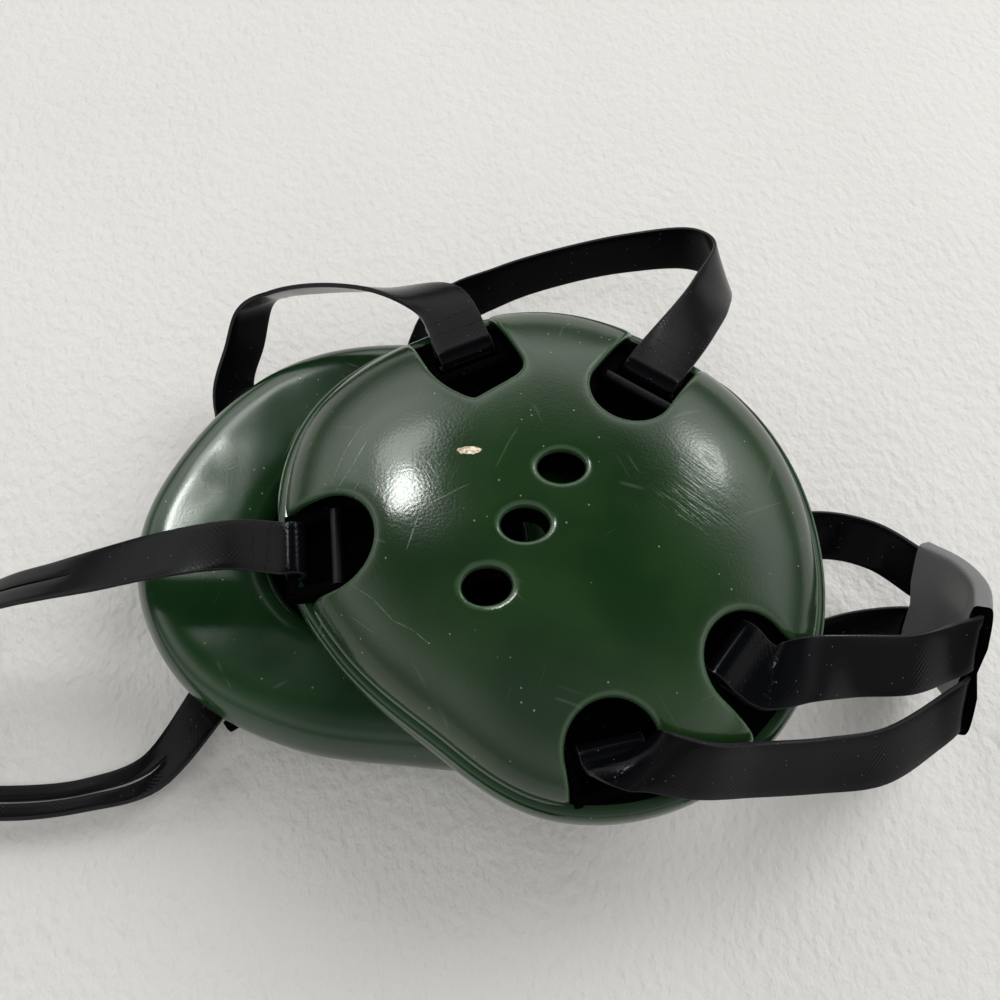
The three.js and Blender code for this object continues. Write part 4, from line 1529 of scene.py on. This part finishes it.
def make_vinyl(name, greens, scratched, dusty, waves, blobs, sheened_lip=False, worn=False):
    material, tree, shader, place = new_material(name)
    colour = mixed(tree, ramp(tree, noise(tree, place, 28, 3), 0.35, 0.7), *greens)
    # The paler band along the notches and vents is a painted sheen.
    if sheened_lip:
        colour = mixed(tree, times(tree, lip_sheen(tree, place), 0.6), colour, LIP_SHEEN_GREEN)
    scratches = use_group(tree, "scratches", Vector=place, Amount=scratched)
    if worn:
        scratches = math_node(tree, "MAXIMUM", scratches, placed_marks(tree, place))
    colour = mixed(tree, times(tree, scratches, 0.34), colour, SCRATCH_GREEN)
    colour = dusted(tree, place, colour, GREEN_DUST, strength=0.35, cells=420, size=0.09, share=dusty)
    dull = varied(tree, place, least=0.13, more=0.1, scale=60)
    dull = plus(tree, dull, times(tree, scratches, 0.25))
    peel = use_group(tree, "peel", Vector=place, Waves=waves, Blobs=blobs, Grain=0.01)
    height = minus(tree, peel, times(tree, scratches, 0.12))
    if worn:
        colour, dull, height = wear(tree, place, colour, dull, height)
    set_finish(tree, shader, colour, dull, height, 0.00012)
    shader.inputs["Specular Tint"].default_value = (0.96, 1, 0.96, 1)
    shader.inputs["IOR"].default_value = 1.52
    return material


SHELL_SKIN = {"greens": SHELL_GREENS, "dusty": 0.25, "waves": 2.5, "blobs": 0.14, "sheened_lip": True}
shell_vinyl = make_vinyl("bottle_green_shell_vinyl", scratched=0.5, **SHELL_SKIN)
front_vinyl = make_vinyl("worn_front_shell_vinyl", scratched=0.25, worn=True, **SHELL_SKIN)
ring_vinyl = make_vinyl("bottle_green_pad_vinyl", PAD_GREENS, scratched=0.3, dusty=0.15, waves=3, blobs=0.05)
# The beads take a paler green, a painted highlight along the mould's rim.
bead_highlight_vinyl = make_vinyl("rim_highlight_vinyl", BEAD_HIGHLIGHT_GREENS, scratched=0.3, dusty=0.1, waves=1, blobs=0.1)
print("cup materials:", shell_vinyl.name, front_vinyl.name, ring_vinyl.name, bead_highlight_vinyl.name)

# %% [markdown]
# The frame inside the cup is plain black moulded plastic, a little dusty. Its black is far darker than the
# plastic's own:
# it is painted shade for the notches, where most of the frame lies in shadow, and it is matte. The bars that
# are in sight share that black but are satin, so that they catch a thin light.

# %% Materials for the inner frame
# Darker than black plastic is: painted shade for the frame, and shared by the bars in sight.
SHADE_DARKENED_BLACKS = ((0.0008, 0.0008, 0.001), (0.002, 0.002, 0.0025))
FRAME_DUST = (0.3, 0.3, 0.28)


def make_black_plastic(name, specular, dull):
    material, tree, shader, place = new_material(name)
    base = mixed(tree, noise(tree, place, 90), *SHADE_DARKENED_BLACKS)
    colour = dusted(tree, place, base, FRAME_DUST, strength=0.05, cells=600, size=0.12, share=0.3)
    rough = varied(tree, place, least=dull, more=0.15, scale=200)
    peel = use_group(tree, "peel", Vector=place, Waves=0.3, Blobs=0.3, Grain=0.3)
    set_finish(tree, shader, colour, rough, peel, 0.0001)
    shader.inputs["Specular IOR Level"].default_value = specular
    return material


# The frame's copy has no shine, so that with the darkened black it gives the painted shade in the notches.
shade_black_plastic = make_black_plastic("black_plastic_painted_shade", 0, 0.7)
bar_plastic = make_black_plastic("satin_black_plastic", 0.2, 0.4)
print("frame materials:", shade_black_plastic.name, bar_plastic.name)

# %% [markdown]
# The straps' coat is black, with a thin shine. The weave and the welds come through it as fine dents, read
# from the band's own UV maps so that they follow every bend. Its edges are painted a little paler, a painted
# sheen along them. The keeper is a greyer, duller vinyl.

# %% Materials for the straps
WEBBING_BLACKS = ((0.0009, 0.001, 0.0015), (0.0024, 0.0027, 0.0036))
EDGE_SHEEN_GREY = (0.03, 0.03, 0.033)
KEEPER_GREYS = ((0.105, 0.106, 0.107), (0.14, 0.141, 0.142))
STRAP_DUST = (0.4, 0.4, 0.38)


def make_webbing():
    material, tree, shader, place = new_material("black_coated_webbing")
    from_turn = uv_place(tree, "from_turn")
    # A painted sheen: both edges of the band are painted paler.
    edge_sheen = ramp(tree, math_node(tree, "ABSOLUTE", parts_of(tree, from_turn)["X"]), 0.955, 0.99)
    colour = mixed(tree, noise(tree, place, 45, 3), *WEBBING_BLACKS)
    colour = mixed(tree, times(tree, edge_sheen, 0.5), colour, EDGE_SHEEN_GREY)
    colour = dusted(tree, place, colour, STRAP_DUST, strength=0.2, cells=700, size=0.1, share=0.22)
    rough = varied(tree, place, least=0.14, more=0.1, scale=120)
    weave = use_group(tree, "weave", Vector=uv_place(tree, "webbing"), Pitch=0.0007)
    patchy = times(tree, weave, ramp(tree, noise(tree, place, 130), 0.4, 0.75))
    welds = use_group(tree, "welds", Vector=from_turn)
    peel = use_group(tree, "peel", Vector=place, Waves=1.2, Blobs=0.09, Grain=0.03)
    height = minus(tree, plus(tree, peel, times(tree, patchy, 0.2)), times(tree, welds, 1.6))
    set_finish(tree, shader, colour, rough, height, 0.0001)
    shader.inputs["Specular IOR Level"].default_value = 0.09
    return material


def make_keeper_vinyl():
    material, tree, shader, place = new_material("black_keeper_vinyl")
    base = mixed(tree, noise(tree, place, 60, 3), *KEEPER_GREYS)
    colour = dusted(tree, place, base, STRAP_DUST, strength=0.3, cells=650, size=0.1, share=0.2)
    rough = varied(tree, place, least=0.34, more=0.14, scale=150)
    peel = use_group(tree, "peel", Vector=place, Waves=1.5, Blobs=0.5, Grain=0.25)
    set_finish(tree, shader, colour, rough, peel, 0.0001)
    return material


strap_coat = make_webbing()
keeper_vinyl = make_keeper_vinyl()
print("strap materials:", strap_coat.name, keeper_vinyl.name)

# %% [markdown]
# Each piece takes its material. The pad is painted black where it lies inside the cup, round its top and in
# its hole, which shows through the notches and vents: that black is painted shade, and those faces are picked
# by their place. The keeper's cut ends and the walls of its cells are painted the same black, painted shade
# in the cells.

# %% Dress the pieces
# The pad's faces inside these heights and reaches take the painted shade.
SHADE_TOP = {"over": -1.2, "from_rim": 3.4}
SHADE_HOLE = {"over": -12, "share": 0.56}
CELL_MARGIN = 0.1
ACROSS_WALL = 0.9
ALONG_END = 0.8


def dress(obj, *materials):
    obj.data.materials.clear()
    for material in materials:
        obj.data.materials.append(material)


def paint_shade_inside(obj, side):
    """Gives the pad's top and its hole, inside the cup, the second material, whose black is painted shade."""
    back = cup_matrix(side).inverted()
    count = 0
    for face in obj.data.polygons:
        place = back @ face.center
        rim = float(outline_radius(math.degrees(math.atan2(place.y, place.x))))
        reach = math.hypot(place.x, place.y)
        on_top = place.z > SHADE_TOP["over"] and reach < rim - SHADE_TOP["from_rim"]
        in_hole = place.z > SHADE_HOLE["over"] and reach < SHADE_HOLE["share"] * rim
        face.material_index = int(on_top or in_hole)
        count += face.material_index
    print(f"{obj.name}: {count} faces are black inside the cup")


def darken_cut_ends(obj):
    """Gives the sleeve's cut ends, and the walls inside its cells, the second material, whose black is
    painted shade in the cells.
    """
    stations = [(s["middle"] + SHIFT) * MM for s in keeper_route]
    for face in obj.data.polygons:
        near = min(range(len(stations)), key=lambda k: (stations[k] - face.center).length)
        here = keeper_route[near]
        up = (face.center - stations[near]).dot(here["thick"]) / MM
        level = abs(up) < CELL_THICKNESS / 2 + CELL_MARGIN
        in_cell = level and abs(face.normal.dot(here["wide"])) < ACROSS_WALL
        at_end = abs(face.normal.dot(here["along"])) > ALONG_END
        face.material_index = int(in_cell or at_end)


for side, pieces in cups.items():
    dress(pieces["shell"], front_vinyl if side == "left" else shell_vinyl)
    dress(pieces["bead"], bead_highlight_vinyl)
    dress(pieces["pad"], ring_vinyl, shade_black_plastic)
    paint_shade_inside(pieces["pad"], side)
    dress(pieces["inner_frame"], shade_black_plastic)
    dress(pieces["strap_bars"], bar_plastic)
for obj in straps.values():
    dress(obj, strap_coat)
dress(keeper, keeper_vinyl, shade_black_plastic)
darken_cut_ends(keeper)

# %% [markdown]
# Every piece moves with the CAD model's one body, and the CAD node that it stands for is hidden.

# %% Tie the pieces to the frame
for side, pieces in cups.items():
    for piece, node, slot in (("shell", "shell", "green_vinyl"), ("bead", "shell", "green_vinyl"),
                              ("pad", "pad", "pad_vinyl"), ("inner_frame", "frame", "black_plastic"),
                              ("strap_bars", "frame", "black_plastic")):
        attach(pieces[piece], "root")
        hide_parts(f"{side}_{node}")
for name, obj in straps.items():
    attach(obj, "root")
    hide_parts(f"{name}_strap")
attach(keeper, "root")
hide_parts("strap_keeper")
print("pieces:", len(straps) + 1 + 2 * len(CUP_PIECES))

# %% [markdown]
# The guard lies on a pale sheet: one large plane with a fine grain and faint folds. Two groups of lamps are
# mirrored in the vinyl, left and right, as the two bright spots on the dome say: each is a small bright
# lamp in a wider glow and a wide haze. Three more, like windows, light the scene without being mirrored. A
# pale room fills the rest.

# %% Floor and light
FLOOR_SIZE = 6
SHEET_TINTS = ((0.585, 0.575, 0.55), (0.64, 0.63, 0.607))
LIGHT_AIM = Vector((0, 0, 0.04))
ROOM_TINT = (1, 0.995, 0.985, 1)
CEILING = 0.03
CEILING_FRONT = 0.31
WALL_BACK = 1.9
WALL_FRONT = 0.35
HORIZON = 0.12
MIRRORED_LAMPS = (
    ("left_lamp", 137, 56, 1.6, (0.3, 0.16), 46), ("left_glow", 124, 48, 1.7, (0.55, 0.3), 5.5),
    ("left_haze", 128, 42, 1.8, (1.2, 0.8), 1.1), ("right_lamp", 43, 37, 1.7, (0.26, 0.2), 13),
    ("right_glow", 45, 37, 1.8, (0.5, 0.42), 2.8), ("right_haze", 43, 37, 1.9, (1.1, 0.95), 0.35),
)
LIGHTING_LAMPS = (
    ("window_light", 36, 47, 2, (1.1, 1.1), 7), ("second_window_light", 135, 52, 2, (0.8, 0.8), 1.6),
    ("overhead_fill", 270, 76, 2.2, (1.6, 1.6), 2.2),
)


def make_floor_material():
    material, tree, shader, place = new_material("pale_sheet")
    tint = mixed(tree, noise(tree, place, 9, 4), *SHEET_TINTS)
    rough = varied(tree, place, least=0.55, more=0.1, scale=40)
    grain = noise(tree, stretch(tree, place, 0.4, (1, 0.7, 1)), 380, 4)
    folds = times(tree, noise(tree, stretch(tree, place, 0.5, (1, 0.3, 1)), 14), 3.5)
    set_finish(tree, shader, tint, rough, plus(tree, grain, folds), 0.001)
    return material


bpy.ops.object.select_all(action="DESELECT")
bpy.ops.mesh.primitive_plane_add(size=FLOOR_SIZE, location=(0, 0, 0))
floor = bpy.context.object
floor.name = "pale_sheet"
dress(floor, make_floor_material())


def soft_light(name, azimuth, elevation, distance, size, radiance, mirrored):
    """An oval light, in metres and watts. It is either mirrored in glossy skins or lights the scene."""
    away = direction(azimuth, elevation)
    bpy.ops.object.light_add(type="AREA", location=LIGHT_AIM + away * distance)
    light = bpy.context.object
    light.name = name
    light.data.shape = "ELLIPSE"
    light.data.size, light.data.size_y = size
    light.data.energy = radiance * math.pi * math.pi / 4 * size[0] * size[1]
    light.rotation_euler = (-away).to_track_quat("-Z", "Y").to_euler()
    light.visible_glossy = mirrored
    light.visible_diffuse = not mirrored


def make_room():
    """A pale room: its walls are bright half way up, most of all behind the guard, and dark at the floor."""
    room = bpy.data.worlds.new("pale_room")
    room.use_nodes = True
    tree = room.node_tree
    looking = parts_of(tree, tree.nodes.new("ShaderNodeTexCoord").outputs["Generated"])
    walls = times(tree, ramp(tree, looking["Y"], -0.9, 0.7), WALL_BACK - WALL_FRONT)
    walls = plus(tree, walls, WALL_FRONT)
    lifted = times(tree, ramp(tree, looking["Z"], 0.1, 0.42), 1 - HORIZON)
    half_way_up = times(tree, ramp(tree, looking["Z"], 0.84, 0.45), plus(tree, HORIZON, lifted))
    above = times(tree, ramp(tree, looking["Y"], 0.15, -0.45), CEILING_FRONT)
    above = plus(tree, above, CEILING)
    strength = plus(tree, times(tree, walls, half_way_up), above)
    background = tree.nodes["Background"]
    background.inputs["Color"].default_value = ROOM_TINT
    tree.links.new(strength, background.inputs["Strength"])
    return room


for lamps, mirrored in ((MIRRORED_LAMPS, True), (LIGHTING_LAMPS, False)):
    for lamp in lamps:
        soft_light(*lamp, mirrored)
bpy.context.scene.world = make_room()
bpy.context.scene.view_settings.view_transform = "Standard"
